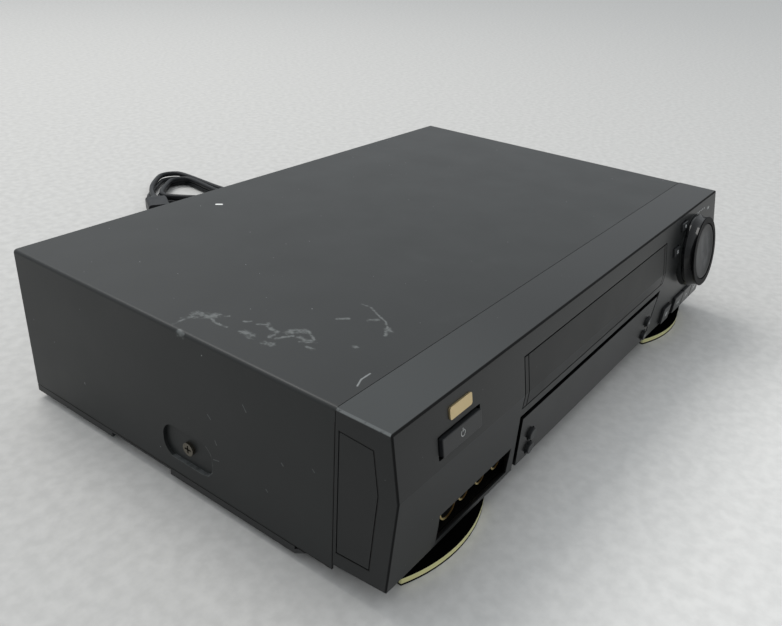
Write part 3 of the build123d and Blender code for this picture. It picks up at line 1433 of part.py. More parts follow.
# Head drum: fixed lower drum on its foot, and the spinning upper drum with its shaft
drum_base_plane = Plane(origin=(0, y_at(drum_depth), deck_top + drum_lift), x_dir=(1, 0, 0),
                        z_dir=(0, sin(radians(drum_tilt)), cos(radians(drum_tilt))))
with BuildPart() as lower_drum:
    with BuildSketch(Plane.XY.offset(deck_top)):
        with Locations((0, y_at(drum_depth))):
            Circle(drum_foot_radius)
    extrude(amount=drum_lift + drum_foot_lap)
    with BuildSketch(drum_base_plane):
        Circle(drum_radius)
    extrude(amount=lower_drum_height)
    with BuildSketch(drum_base_plane.offset(lower_drum_height)):
        Circle(drum_shaft_radius + running_gap)
    extrude(amount=-lower_drum_height, mode=Mode.SUBTRACT)
write_piece(lower_drum, "lower_drum")

with BuildPart() as upper_drum:
    with BuildSketch(drum_base_plane.offset(lower_drum_height + drum_gap)):
        Circle(drum_radius)
    extrude(amount=upper_drum_height)
    with BuildSketch(drum_base_plane.offset(lower_drum_height + drum_gap)):
        Circle(drum_shaft_radius)
    extrude(amount=-(lower_drum_height + drum_gap - drum_shaft_end_gap))
    with BuildSketch(drum_base_plane.offset(lower_drum_height + drum_gap + upper_drum_height)):
        Circle(drum_radius - drum_rim)
        Circle(drum_shaft_radius + drum_hub, mode=Mode.SUBTRACT)
    extrude(amount=-drum_dish, mode=Mode.SUBTRACT)
write_piece(upper_drum, "upper_drum")

# Capstan: stator hung under the deck by its bearing, rotor and shaft through it
stator_bottom = rotor_bottom + rotor_height + stator_gap
with BuildPart() as capstan_motor:
    place = (capstan_x, y_at(capstan_depth))
    for low, high, radius in ((stator_bottom, stator_bottom + stator_height, stator_radius),
                              (stator_bottom, bearing_top, bearing_radius),
                              (deck_z - bearing_flange_sheet, deck_z, bearing_flange_radius)):
        with BuildSketch(Plane.XY.offset(low)):
            with Locations(place):
                Circle(radius)
        extrude(amount=high - low)
    with BuildSketch(Plane.XY.offset(stator_bottom)):
        with Locations(place):
            Circle(capstan_radius + running_gap)
    extrude(amount=bearing_top - stator_bottom, mode=Mode.SUBTRACT)
write_piece(capstan_motor, "capstan_motor")

with BuildPart() as capstan_rotor:
    with BuildSketch(Plane.XY.offset(rotor_bottom)):
        with Locations((capstan_x, y_at(capstan_depth))):
            Circle(rotor_radius)
    extrude(amount=rotor_height)
    with BuildSketch(Plane.XY.offset(rotor_bottom)):
        with Locations((capstan_x, y_at(capstan_depth))):
            Circle(capstan_radius)
    extrude(amount=capstan_top - rotor_bottom)
write_piece(capstan_rotor, "capstan_rotor")

# Pinch arm and roller
pinch_x = pinch_pivot_x + pinch_arm_length * cos(radians(pinch_rest_angle))
pinch_y = y_at(pinch_pivot_depth) + pinch_arm_length * sin(radians(pinch_rest_angle))
arm_z = deck_top + arm_lift
with BuildPart() as pinch_arm:
    with BuildSketch(Plane.XY.offset(arm_z)):
        slot = SlotCenterToCenter(pinch_arm_length, 2 * arm_half_width, rotation=pinch_rest_angle,
                                  mode=Mode.PRIVATE)
        add(slot.moved(Location(((pinch_x + pinch_pivot_x) / 2, (pinch_y + y_at(pinch_pivot_depth)) / 2, 0))))
    extrude(amount=arm_sheet)
    with BuildSketch(Plane.XY.offset(arm_z)):
        with Locations((pinch_pivot_x, y_at(pinch_pivot_depth))):
            Circle(arm_half_width)
    extrude(amount=pinch_pivot_height)
    with BuildSketch(Plane.XY.offset(arm_z)):
        with Locations((pinch_pivot_x, y_at(pinch_pivot_depth))):
            Circle(deck_pin_radius + running_gap)
    extrude(amount=pinch_pivot_height, mode=Mode.SUBTRACT)
    with BuildSketch(Plane.XY.offset(arm_z)):
        with Locations((pinch_x, pinch_y)):
            Circle(roller_pin_radius)
    extrude(amount=pinch_roller_top + roller_pin_end - arm_z)
    with BuildSketch(Plane.XY.offset(arm_z)):
        with Locations((pinch_x, pinch_y)):
            Circle(arm_half_width)
    extrude(amount=pinch_roller_bottom - roller_gap - arm_z)
write_piece(pinch_arm, "pinch_arm")

with BuildPart() as pinch_roller:
    with BuildSketch(Plane.XY.offset(pinch_roller_bottom)):
        with Locations((pinch_x, pinch_y)):
            Circle(pinch_roller_radius)
            Circle(roller_pin_radius + running_gap, mode=Mode.SUBTRACT)
    extrude(amount=pinch_roller_top - pinch_roller_bottom)
write_piece(pinch_roller, "pinch_roller")

# Tape guides: a sled with a roller post and a slant post, and a pin in the deck's slot
sled_z = deck_top + arm_lift
sled_top = sled_z + guide_sled_sheet
for (side, start, end), name in zip(guide_paths, ("supply_guide", "takeup_guide")):
    with BuildPart() as guide:
        with BuildSketch(Plane.XY.offset(sled_z)):
            with Locations(start):
                RectangleRounded(guide_sled, guide_sled, guide_sled_corner)
        extrude(amount=guide_sled_sheet)
        with BuildSketch(Plane.XY.offset(sled_z)):
            with Locations(start):
                Circle(guide_pin_radius)
        extrude(amount=-(arm_lift + guide_pin_drop))
        with BuildSketch(Plane.XY.offset(sled_top)):
            with Locations(start):
                Circle(guide_post_radius)
        extrude(amount=guide_post_top - sled_top)
        slant_x = start[0] - side * (guide_sled / 2 - slant_post_radius - slant_post_edge)
        with BuildSketch(Plane.XY.offset(sled_top)):
            with Locations((slant_x, start[1] - slant_post_back)):
                Circle(slant_post_radius)
        extrude(amount=guide_post_top - slant_post_short - sled_top)
    write_piece(guide, name)

# Loading drive: motor with a worm on its shaft, and the cam gear it turns
worm_depth = cam_depth + cam_radius + worm_gap + worm_radius
worm_z = cam_z + cam_sheet / 2
with BuildPart() as cam_gear:
    with BuildSketch(Plane.XY.offset(cam_z)):
        with Locations((cam_x, y_at(cam_depth))):
            Circle(cam_radius - cam_tooth_depth)
            with PolarLocations(cam_radius - (cam_tooth_depth + cam_tooth_root) / 2, cam_teeth):
                Rectangle(cam_tooth_depth + cam_tooth_root, pi * cam_radius / cam_teeth * cam_tooth_fill)
    extrude(amount=cam_sheet)
    with BuildSketch(Plane.XY.offset(deck_top + arm_lift)):
        with Locations((cam_x, y_at(cam_depth))):
            Circle(cam_hub_radius)
    extrude(amount=cam_hub_top - deck_top - arm_lift)
    with BuildSketch(Plane.XY.offset(deck_top)):
        with Locations((cam_x, y_at(cam_depth))):
            Circle(cam_pin_radius + running_gap)
    extrude(amount=cam_hub_top - deck_top, mode=Mode.SUBTRACT)
write_piece(cam_gear, "cam_gear")

worm_plane = Plane(origin=(cam_x - worm_length / 2, y_at(worm_depth), worm_z), x_dir=(0, 1, 0),
                   z_dir=(1, 0, 0))
motor_start = worm_length + motor_gap
with BuildPart() as loading_worm:
    with BuildSketch(worm_plane):
        Circle(worm_radius - worm_thread)
    extrude(amount=worm_length)
    ring_pitch = worm_length / worm_rings
    for ring in range(worm_rings):
        with BuildSketch(worm_plane.offset(ring_pitch * (ring + worm_ring_fill / 2))):
            Circle(worm_radius)
        extrude(amount=ring_pitch * worm_ring_fill)
    with BuildSketch(worm_plane.offset(worm_length)):
        Circle(motor_shaft_radius)
    extrude(amount=motor_gap + motor_shaft_reach)
write_piece(loading_worm, "loading_worm")

with BuildPart() as loading_motor:
    with BuildSketch(worm_plane.offset(motor_start)):
        Circle(motor_radius)
    extrude(amount=motor_length)
    with BuildSketch(worm_plane.offset(motor_start)):
        Circle(motor_shaft_radius + running_gap)
    extrude(amount=motor_shaft_reach + motor_bore_end_gap, mode=Mode.SUBTRACT)
    # Cradle on the deck
    cradle_x = cam_x - worm_length / 2 + motor_start + motor_length / 2
    with Locations((cradle_x, y_at(worm_depth), deck_top)):
        Box(motor_length - 2 * cradle_inset, motor_radius * cradle_width_share,
            worm_z - deck_top - motor_radius * cradle_top_share,
            align=(Align.CENTER, Align.CENTER, Align.MIN))
write_piece(loading_motor, "loading_motor")

# Fixed heads on their posts
with BuildPart() as fixed_heads:
    for x, depth in ((erase_head_x, erase_head_depth), (sound_head_x, sound_head_depth)):
        with BuildSketch(Plane.XY.offset(deck_top)):
            with Locations((x, y_at(depth))):
                Circle(head_post_radius)
        extrude(amount=head_post_height)
        with Locations((x, y_at(depth), deck_top + head_post_height)):
            Box(head_width, head_depth, head_height, align=(Align.CENTER, Align.CENTER, Align.MIN))
write_piece(fixed_heads, "fixed_heads")

# ---------------------------------------------------------------------------
# Mains cord
# ---------------------------------------------------------------------------

# Strain relief in the rear panel
relief_start = panel_depth + panel_sheet
relief_plane = Plane(origin=(outlet_x, y_at(relief_start), outlet_z), x_dir=(-1, 0, 0), z_dir=(0, 1, 0))
with BuildPart() as strain_relief:
    with BuildSketch(relief_plane):
        Circle(relief_radius)
    extrude(amount=-(panel_sheet + relief_inner_length))
    with BuildSketch(relief_plane):
        Circle(relief_flange_radius)
    extrude(amount=relief_flange_sheet)
    with BuildSketch(relief_plane.offset(relief_flange_sheet)):
        Circle(relief_radius)
    with BuildSketch(relief_plane.offset(relief_length)):
        Circle(relief_end_radius)
    loft()
write_piece(strain_relief, "strain_relief")

# Lead: straight runs joined by arcs as large as the runs allow
lead = [Vector(x, y_at(depth), z) for x, depth, z in lead_points]
radii = []
for before, corner, after in zip(lead, lead[1:], lead[2:]):
    turn = (corner - before).get_angle(after - corner)
    shorter = min((corner - before).length, (after - corner).length)
    radii.append(0.45 * shorter / tan(radians(turn / 2)))
print("lead radii", [round(radius, 1) for radius in radii])
with BuildPart() as cord_lead:
    with BuildLine() as lead_line:
        FilletPolyline(*lead, radius=radii)
    with BuildSketch(Plane(origin=lead[0], z_dir=lead[1] - lead[0])):
        Circle(cord_radius)
    sweep()
lead_length = sum(edge.length for edge in lead_line.edges())
lead_fill = cord_lead.part.volume / (pi * cord_radius**2 * lead_length)
print("lead volume over section times length", round(lead_fill, 4))
write_piece(cord_lead, "cord_lead")

# Hank: the outer shape of two bound loops
hank_plane = Plane(origin=(hank_x, y_at(hank_depth), hank_lift), x_dir=(hank_toward_x, hank_toward_y, 0),
                   z_dir=(0, 0, 1))
with BuildPart() as cord_hank:
    for loop in (hank_far_loop, hank_near_loop):
        with BuildSketch(hank_plane):
            for center, radius in loop:
                with Locations(center):
                    Circle(radius)
            make_hull()
        extrude(amount=hank_height)
    fillet(cord_hank.faces().sort_by(Axis.Z)[-1].edges(), hank_edge_round)
write_piece(cord_hank, "cord_hank")

# Plug: neck, body and two flat blades
plug_toward = Vector(plug_toward_x, plug_toward_y, 0).normalized()
hank_end, hank_end_radius = hank_far_loop[0]
plug_start = (hank_plane.from_local_coords((*hank_end, plug_height / 2))
              + plug_toward * (hank_end_radius - plug_sink))
plug_plane = Plane(origin=plug_start, z_dir=plug_toward, x_dir=(-plug_toward.Y, plug_toward.X, 0))
with BuildPart() as mains_plug:
    with BuildSketch(plug_plane.offset(plug_neck)):
        RectangleRounded(plug_width, plug_height, plug_round)
    extrude(amount=plug_length)
    fillet(mains_plug.faces().sort_by(Axis(plug_plane.origin, plug_plane.z_dir))[0].edges(), plug_back_round)
    with BuildSketch(plug_plane):
        Circle(cord_radius + plug_neck_start)
    with BuildSketch(plug_plane.offset(plug_neck + plug_neck_lap)):
        Circle(cord_radius + plug_neck_end)
    loft()
    with BuildSketch(plug_plane.offset(plug_neck + plug_length)):
        with Locations((-blade_spacing / 2, 0), (blade_spacing / 2, 0)):
            Rectangle(blade_sheet, blade_width)
    extrude(amount=blade_length)
write_piece(mains_plug, "mains_plug")
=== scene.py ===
# %% [markdown]
# # Dressing a video cassette recorder
#
# The recorder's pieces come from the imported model, at their real size and place. This script gives them
# their finishes, lays the mains cord in its hank, and prints the marks on the keys. Everything is in
# metres: X runs along the front, Y to the rear and Z up, and the feet stand on Z = 0.

# %% Load the model
import json
from math import cos, pi, radians, sin, tan

import bmesh
import bpy
from mathutils import Matrix, Vector


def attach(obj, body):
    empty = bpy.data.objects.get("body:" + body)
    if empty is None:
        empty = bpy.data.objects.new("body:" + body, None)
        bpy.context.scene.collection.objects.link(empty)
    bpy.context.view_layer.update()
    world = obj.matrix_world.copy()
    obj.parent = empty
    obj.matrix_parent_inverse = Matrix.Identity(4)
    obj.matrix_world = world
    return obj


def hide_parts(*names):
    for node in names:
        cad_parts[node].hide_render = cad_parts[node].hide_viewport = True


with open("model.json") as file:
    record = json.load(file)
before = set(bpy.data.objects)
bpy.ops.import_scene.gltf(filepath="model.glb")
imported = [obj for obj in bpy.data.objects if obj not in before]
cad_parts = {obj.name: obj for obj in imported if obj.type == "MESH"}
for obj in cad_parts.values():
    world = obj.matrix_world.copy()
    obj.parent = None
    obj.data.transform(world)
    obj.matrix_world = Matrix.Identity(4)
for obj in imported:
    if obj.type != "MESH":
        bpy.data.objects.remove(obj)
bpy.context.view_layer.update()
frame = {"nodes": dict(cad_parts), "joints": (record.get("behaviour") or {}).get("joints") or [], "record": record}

nodes = frame["nodes"]
millimetre = 0.001

# %% [markdown]
# ## The camera
#
# A camera is fixed by where it stands, which way it looks, and its lens. Its three axes are built by hand
# here, because a slight roll is easier to write as a turn about the line of sight than as Euler angles. The
# picture is 782 pixels wide and the sensor 36 mm, so a focal length in pixels becomes one in millimetres.

# %% Camera
picture_width = 782
focal_pixels = 783.4
sensor_width = 36.0
nearest_seen = 0.01
camera_place = Vector((-0.39454, -0.25880, 0.26774))
camera_azimuth = radians(-54.502)
camera_elevation = radians(27.341)
camera_roll = radians(3.239)

backward = Vector((sin(camera_azimuth) * cos(camera_elevation),
                   -cos(camera_azimuth) * cos(camera_elevation), sin(camera_elevation)))
level = Vector((cos(camera_azimuth), sin(camera_azimuth), 0.0))
rise = backward.cross(level)
right = cos(camera_roll) * level + sin(camera_roll) * rise
up = cos(camera_roll) * rise - sin(camera_roll) * level
axes = Matrix((right, up, backward)).transposed().to_4x4()

camera_data = bpy.data.cameras.new("camera")
camera_data.sensor_width = sensor_width
camera_data.lens = focal_pixels / picture_width * sensor_width
camera_data.clip_start = nearest_seen
camera = bpy.data.objects.new("camera", camera_data)
bpy.context.scene.collection.objects.link(camera)
camera.matrix_world = Matrix.Translation(camera_place) @ axes
bpy.context.scene.camera = camera
print("lens", round(camera_data.lens, 2), "mm")

# %% [markdown]
# ## The mains cord
#
# A mains cord is a fixed length of something flexible. Here it leaves a tapered strain relief, bends down to the
# floor and goes into a hank, tied at its waist. It could be a chain of bones or a simulated rope, but a still cord
# is simplest as one curve. The lead's points are listed in millimetres: x, then depth behind the top edge of the
# front, then height.

# %% Places for the cord
cord_diameter = 5.0 * millimetre
front_y = -0.123418
lead_points = ((150.0, 278.1, 30.0), (150.0, 293.0, 30.0), (149.3, 308.5, 23.5), (147.5, 321.0, 13.5),
               (145.4, 333.0, 9.0))
hank_corner = Vector((47.0, 485.0))
hank_along = Vector((0.58, -0.815)).normalized()
hank_across = Vector((-hank_along.y, hank_along.x))


def depth_point(x, depth, z):
    """A point from millimetres: its x, its depth behind the top edge of the front, and its height."""
    return Vector((x * millimetre, front_y + depth * millimetre, z * millimetre))


def hank_point(along, across, z):
    """A point from millimetres in the hank's own frame, which starts at its far corner."""
    place = hank_corner + along * hank_along + across * hank_across
    return depth_point(place.x, place.y, z)


print("cord leaves at", [round(part, 3) for part in depth_point(*lead_points[0])])

# %% [markdown]
# ## The hank
#
# A hank is a flat figure: a wide far loop, a waist where the strands are tied, and a round near loop. Each
# turn goes round the two ends of the far loop, through the waist and round the near loop. The turns are of
# different sizes, as they are when a hand winds them, and lie in two layers.

# %% Shape of the hank
low_layer = 2.8
high_layer = 7.9
waist = (105.0, 8.0)
near_centre = (163.5, 8.0)
near_arc = (-110.0, 110.0, 7)
far_radius = 15.6
far_top = (17.0, 57.5)
far_top_arc = (62.0, 182.0, 4)
far_bottom = (18.0, 17.5)
far_bottom_arc = (182.0, 272.0, 3)
draw_in_along = 13.5
draw_in_across = -14.0
# For each turn, from the inside out: how far the far loop draws in, its strands' offset in the waist,
# the near loop's radius and the layer it lies in
turns = ((1.0, 2.7, 17.0, high_layer), (0.82, 2.9, 17.2, low_layer), (0.06, 8.1, 22.0, low_layer))


def bend(centre, radius, arc, z):
    """Control points round part of a circle. They stand a little outside it, so that the curve is on it."""
    start, end, steps = arc
    step = (end - start) / steps
    outside = radius / cos(radians(step / 2))
    angles = [radians(start + step * (index + 0.5)) for index in range(steps)]
    return [hank_point(centre[0] + outside * cos(angle), centre[1] + outside * sin(angle), z)
            for angle in angles]


def far_ends(share):
    """Centres of the far loop's two ends for a turn that draws in by a share."""
    top = (far_top[0] + draw_in_along * share, far_top[1] + draw_in_across * share)
    bottom = (far_bottom[0] + draw_in_along * share, far_bottom[1])
    return top, bottom


print("turns", len(turns))

# %% [markdown]
# Now the route can be written down in order: the lead, the turns, and a last half turn whose end comes down
# from the top layer to the plug. Past the waist the strands fan out into the far loop.

# %% Cord route
fan_length = 30.0
fan_out = 12.0
fan_less_inside = 4.0
fan_back = 1.0
last_offset = 8.1
last_fan_out = 21.0
plug_start = (13.8, -1.4)

route = [depth_point(*point) for point in lead_points]
route += [hank_point(160.0, 1.5, high_layer), hank_point(136.0, 8.0, high_layer)]
for share, offset, near_radius, z in turns:
    top, bottom = far_ends(share)
    route.append(hank_point(waist[0], waist[1] + offset, z))
    route.append(hank_point(waist[0] - fan_length, waist[1] + offset + fan_out - fan_less_inside * share, z))
    route += bend(top, far_radius, far_top_arc, z)
    route += bend(bottom, far_radius, far_bottom_arc, z)
    route.append(hank_point(waist[0] - fan_length, waist[1] - offset - fan_back, z))
    route.append(hank_point(waist[0], waist[1] - offset, z))
    route += bend(near_centre, near_radius, near_arc, z)
top, bottom = far_ends(0.0)
route.append(hank_point(waist[0], waist[1] + last_offset, high_layer))
route.append(hank_point(waist[0] - fan_length, waist[1] + last_fan_out, high_layer))
route += bend(top, far_radius + 1.0, far_top_arc, high_layer)
route += [hank_point(1.4, 36.0, high_layer), hank_point(4.6, 20.0, high_layer - 0.8),
          hank_point(plug_start[0] - 4.2, plug_start[1] + 9.1, 6.9),
          hank_point(plug_start[0] + 0.4, plug_start[1] - 0.9, 6.8)]
print("route points", len(route))

# %% [markdown]
# ## The cord's curve
#
# A NURBS curve of order 3 suits a cord: each control point pulls the line without kinking it. The points are added
# first, and the order and the end points after them: set before, Blender would leave the order at 2, which is
# straight runs. The curve with a bevel becomes a tube of mesh, and the same curve with no bevel gives its
# centreline.

# %% Cord curve
cord_data = bpy.data.curves.new("cord_route", "CURVE")
cord_data.dimensions = "3D"
cord_line = cord_data.splines.new("NURBS")
cord_line.points.add(len(route) - 1)
for point, place in zip(cord_line.points, route):
    point.co = (*place, 1.0)
cord_line.order_u = 3
cord_line.use_endpoint_u = True
cord_line.resolution_u = 8
cord_data.bevel_resolution = 4
cord_data.use_fill_caps = True


def mesh_of_curve(name, thickness):
    """The cord's curve as a mesh: a tube, or with no thickness its centreline."""
    cord_data.bevel_depth = thickness / 2
    holder = bpy.data.objects.new("holder", cord_data)
    mesh = bpy.data.meshes.new_from_object(holder)
    bpy.data.objects.remove(holder)
    mesh.name = name
    return mesh


cord_path = [vertex.co.copy() for vertex in mesh_of_curve("cord_path", 0.0).vertices]
mains_cord = bpy.data.objects.new("mains_cord", mesh_of_curve("mains_cord", cord_diameter))
bpy.context.scene.collection.objects.link(mains_cord)
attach(mains_cord, "recorder")
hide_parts("cord_lead", "cord_hank")

# %% [markdown]
# ## Shader maths as Python
#
# A finish is a tree of nodes. Built by hand it is slow to read, so three small classes help. The first is a
# `Wire`. It is one socket, and sums and products of wires add Math nodes to the tree.

# %% Wire
class Wire:
    """A socket in a node tree, so that shader maths reads as Python."""

    def __init__(self, tree, socket):
        self.tree = tree
        self.socket = socket

    def math(self, operation, *values):
        return self.tree.node("ShaderNodeMath", {"operation": operation}, dict(enumerate(values)))

    def __add__(self, other):
        return self.math("ADD", self, other)

    __radd__ = __add__

    def __sub__(self, other):
        return self.math("SUBTRACT", self, other)

    def __rsub__(self, other):
        return self.math("SUBTRACT", other, self)

    def __mul__(self, other):
        return self.math("MULTIPLY", self, other)

    __rmul__ = __mul__

    def lower(self, other):
        return self.math("MINIMUM", self, other)

    def higher(self, other):
        return self.math("MAXIMUM", self, other)

    def size(self):
        return self.math("ABSOLUTE", self)


# %% [markdown]
# A `Tree` makes any node from its settings and the values or wires of its sockets. It serves materials and
# the world alike. Its step is the most used of all: it turns a distance into a soft-edged mask.

# %% Tree
class Tree:
    """A node tree of a material or the world."""

    def __init__(self, owner):
        owner.use_nodes = True
        self.tree = owner.node_tree

    def put(self, socket, value):
        """Links a wire to a socket, or sets the socket's own value."""
        if isinstance(value, Wire):
            self.tree.links.new(value.socket, socket)
        elif socket.type == "RGBA":
            socket.default_value = (*value, 1.0)
        else:
            socket.default_value = value

    def node(self, kind, settings, sockets, output=0):
        """Any node: its settings first, then its sockets."""
        made = self.tree.nodes.new(kind)
        for name, value in settings.items():
            setattr(made, name, value)
        for name, value in sockets.items():
            self.put(made.inputs[name], value)
        return Wire(self, made.outputs[output])

    def vector(self, operation, first, second, output="Vector"):
        """Maths on two vectors. The result is a vector, or with the output Value a number."""
        return self.node("ShaderNodeVectorMath", {"operation": operation}, {0: first, 1: second}, output)

    def part(self, vector, axis):
        """One part of a vector: X, Y or Z."""
        return self.node("ShaderNodeSeparateXYZ", {}, {"Vector": vector}, axis)

    def step(self, value, low, high):
        """0 below low, 1 above high, smooth between. With low above high it falls instead."""
        rising = low < high
        ends = (low, high) if rising else (high, low)
        return self.node("ShaderNodeMapRange", {"interpolation_type": "SMOOTHSTEP"},
                         {"Value": value, "From Min": ends[0], "From Max": ends[1],
                          "To Min": 0.0 if rising else 1.0, "To Max": 1.0 if rising else 0.0})

    def mix(self, share, first, second):
        """A colour between two."""
        return self.node("ShaderNodeMix", {"data_type": "RGBA"}, {0: share, 6: first, 7: second}, 2)


# %% [markdown]
# A `Finish` is a material's tree with its Principled shader. Its noise and cells are measured in metres, in
# the object's own coordinates, so that a grain has its real size on every piece.

# %% Finish
class Finish(Tree):
    """One material, with the nodes that feed its Principled shader."""

    def __init__(self, name, **surface):
        self.material = bpy.data.materials.new(name)
        super().__init__(self.material)
        self.shader = self.tree.nodes["Principled BSDF"]
        self.feed(**surface)
        self.place = self.node("ShaderNodeTexCoord", {}, {}, "Object")

    def feed(self, **surface):
        """Sets the shader's sockets, with underscores for spaces, to values or wires."""
        for name, value in surface.items():
            self.put(self.shader.inputs[name.replace("_", " ").title().replace("Ior", "IOR")], value)

    def noise(self, size, detail=2.0, stretch=(1.0, 1.0, 1.0), shift=(0.0, 0.0, 0.0)):
        """Soft random value from 0 to 1, in patches of about a size in metres."""
        scale = tuple(1.0 / (size * part) for part in stretch)
        place = self.node("ShaderNodeMapping", {}, {"Vector": self.place, "Location": shift, "Scale": scale})
        return self.node("ShaderNodeTexNoise", {}, {"Vector": place, "Scale": 1.0, "Detail": detail})

    def cells(self, size, feature="F1"):
        """Distance to scattered points about a size apart, or to the walls between them."""
        return self.node("ShaderNodeTexVoronoi", {"feature": feature},
                         {"Vector": self.place, "Scale": 1.0 / size}, "Distance")

    def bump(self, height, distance, strength):
        """Small relief: height from 0 to 1 over a distance in metres."""
        relief = self.node("ShaderNodeBump", {}, {"Height": height, "Distance": distance,
                                                  "Strength": strength})
        self.feed(normal=relief)


def shade(colour, share):
    """A colour made lighter or darker."""
    return tuple(part * share for part in colour)


# %% [markdown]
# ## Paint and moulded plastic
#
# Most of this recorder is black, and black surfaces differ by their gloss and grain rather than by colour.
# Sheet steel has a sprayed coat with a fine pebble grain. The moulded front has a finer, more even grain
# from the mould. Handling leaves patches that are a little smoother, so roughness drifts over a few
# centimetres. Dust is scattered points, and a coarse noise leaves most of them out.

# %% Dust
dust_colour = (0.30, 0.31, 0.31)
dust_size = 0.0035
dust_gathers = 0.004


def dusty(finish, colour, amount, size=dust_size):
    """Scattered specks of dust over a colour: few, small and pale."""
    here = finish.step(finish.noise(dust_gathers, 0.0, shift=(3.0, 1.0, 2.0)), 0.62, 0.7)
    speck = finish.step(finish.cells(size), 0.075, 0.045)
    return finish.mix(speck * here * amount, colour, dust_colour)


def drifting(finish, colour, size, spread, detail=2.0):
    """A colour that drifts lighter and darker by a share over a distance."""
    return finish.mix(finish.noise(size, detail), shade(colour, 1.0 - spread), shade(colour, 1.0 + spread))


# %% [markdown]
# Paint and plastic are made alike: a grain as bump, a drifting roughness, and a colour that drifts too. Each
# has a helper that leaves the colour open, for the finishes that paint their own wear over it.

# %% Paint and plastic
paint_grain, paint_relief = 0.0008, 0.00003
mould_grain, mould_relief = 0.0005, 0.000012


def sprayed(name, colour, roughness):
    """Sprayed and baked paint, whose highlights are weak, because the coat is matt. Gives its tone too."""
    finish = Finish(name, specular_ior_level=0.3)
    finish.feed(roughness=roughness + 0.10 * (finish.noise(0.03, 3.0) - 0.5))
    finish.bump(finish.noise(paint_grain, 1.0), paint_relief, 0.6)
    return finish, drifting(finish, colour, 0.09, 0.14, 3.0)


def panel_paint(colour, roughness):
    """The rear panel's paint, with dust on it."""
    finish, tone = sprayed("panel_paint", colour, roughness)
    finish.feed(base_color=dusty(finish, tone, 0.5))
    return finish


def moulded(name, roughness, gloss=0.4):
    """Plastic with the mould's fine grain, and no colour yet."""
    finish = Finish(name, specular_ior_level=gloss)
    finish.feed(roughness=roughness + 0.08 * (finish.noise(0.02, 3.0) - 0.5))
    finish.bump(finish.noise(mould_grain, 1.0), mould_relief, 0.5)
    return finish


def plastic_tone(finish, colour):
    """Moulded plastic's colour."""
    return drifting(finish, colour, 0.06, 0.1)


def moulding(name, colour, roughness, gloss=0.4, dust=0.3):
    """Moulded plastic of one colour, with dust on it."""
    finish = moulded(name, roughness, gloss)
    finish.feed(base_color=dusty(finish, plastic_tone(finish, colour), dust))
    return finish


# %% [markdown]
# ## Metal, glass and rubber
#
# Metal takes its colour from its reflections. It is brushed along one axis by stretching its noise, and its
# tarnish is a broad noise. Glass shows fingerprints where it is a little duller. Vinyl and rubber have
# broad, dull highlights and a bloom of dust.

# %% Metal, glass and rubber
metal_grain, metal_relief = 0.0006, 0.000006
vinyl_grain, vinyl_relief = 0.0007, 0.00001
tarnish_share = 0.12


def plated(name, roughness, stretch=(1.0, 1.0, 1.0), metallic=1.0):
    """Metal or plating, brushed along the stretched axis, and with no colour yet."""
    finish = Finish(name, metallic=metallic)
    streak = finish.noise(metal_grain, 2.0, stretch)
    finish.feed(roughness=roughness + 0.16 * (streak - 0.5))
    finish.bump(streak, metal_relief, 0.5)
    return finish


def metal(name, colour, roughness, stretch=(1.0, 1.0, 1.0)):
    """Bare metal of one colour, tarnished in patches."""
    finish = plated(name, roughness, stretch)
    finish.feed(base_color=finish.mix(finish.noise(0.02, 3.0), shade(colour, 1.0 - tarnish_share), colour))
    return finish


def display_glass(colour, roughness):
    """The display tube's glass, with fingerprints that dull it in patches."""
    finish = Finish("display_glass")
    smudge = finish.step(finish.noise(0.018, 4.0), 0.45, 0.7)
    finish.feed(base_color=finish.mix(smudge, colour, shade(colour, 1.25)),
                roughness=roughness + 0.05 * smudge)
    return finish


def rubbery(name, colour, roughness, gloss=0.5):
    """Soft vinyl or rubber."""
    finish = Finish(name, specular_ior_level=gloss)
    bloom = finish.step(finish.noise(0.012, 4.0), 0.4, 0.8)
    finish.feed(base_color=finish.mix(bloom * 0.5, colour, shade(colour, 2.0)),
                roughness=roughness + 0.1 * bloom)
    finish.bump(finish.noise(vinyl_grain, 1.0), vinyl_relief, 0.5)
    return finish


# %% [markdown]
# ## Strokes
#
# Wear, a painted highlight and the painted shade of gaps sit at places, so they are given as strokes: half a
# stroke's width, and then the points that it runs through, in millimetres. In the shader a stroke is the distance
# to a line from one point to the next, as a share of that half width. Strokes on the top are x and depth, and
# strokes on the sides depth and height. An image texture could hold the same marks, but strokes stay sharp and
# need no file.

# %% Stroke distance
far_from_all = 10.0


def stroke_distance(finish, strokes, on_side=False):
    """Distance from each point of the surface to the nearest stroke, as a share of its half width."""
    flat = finish.vector("MULTIPLY", finish.place, (0, 1, 1) if on_side else (1, 1, 0))
    nearest = far_from_all
    for half_width, *points in strokes:
        places = [depth_point(0.0, *point) if on_side else depth_point(*point, 0.0) for point in points]
        for origin, end in zip(places, places[1:]):
            run = end - origin
            offset = finish.vector("SUBTRACT", flat, origin)
            along = finish.vector("DOT_PRODUCT", offset, run / run.length_squared, "Value")
            held = finish.node("ShaderNodeClamp", {}, {"Value": along})
            foot = finish.node("ShaderNodeVectorMath", {"operation": "SCALE"}, {0: run, "Scale": held})
            apart = finish.vector("DISTANCE", offset, foot, "Value")
            nearest = (apart * (1.0 / (half_width * millimetre))).lower(nearest)
    return nearest


# %% [markdown]
# ## The front's depth
#
# The front has two faces that meet at a crease. What lies behind them, such as the wall of a key's hole or the
# floor of the groove round the window, gets little light, so painted shade darkens it. The depth of a point behind
# both faces tells the shader where that is.

# %% Depth behind the front
case_half_width = 0.200
case_height = 0.094
crease_place = (0.0, front_y - 0.00517, 0.0631)
upper_lean = -9.498
lower_lean = 3.856
shade_depths = (0.0004, 0.0009)
painted_shade_black = (0.0025, 0.0025, 0.0025)


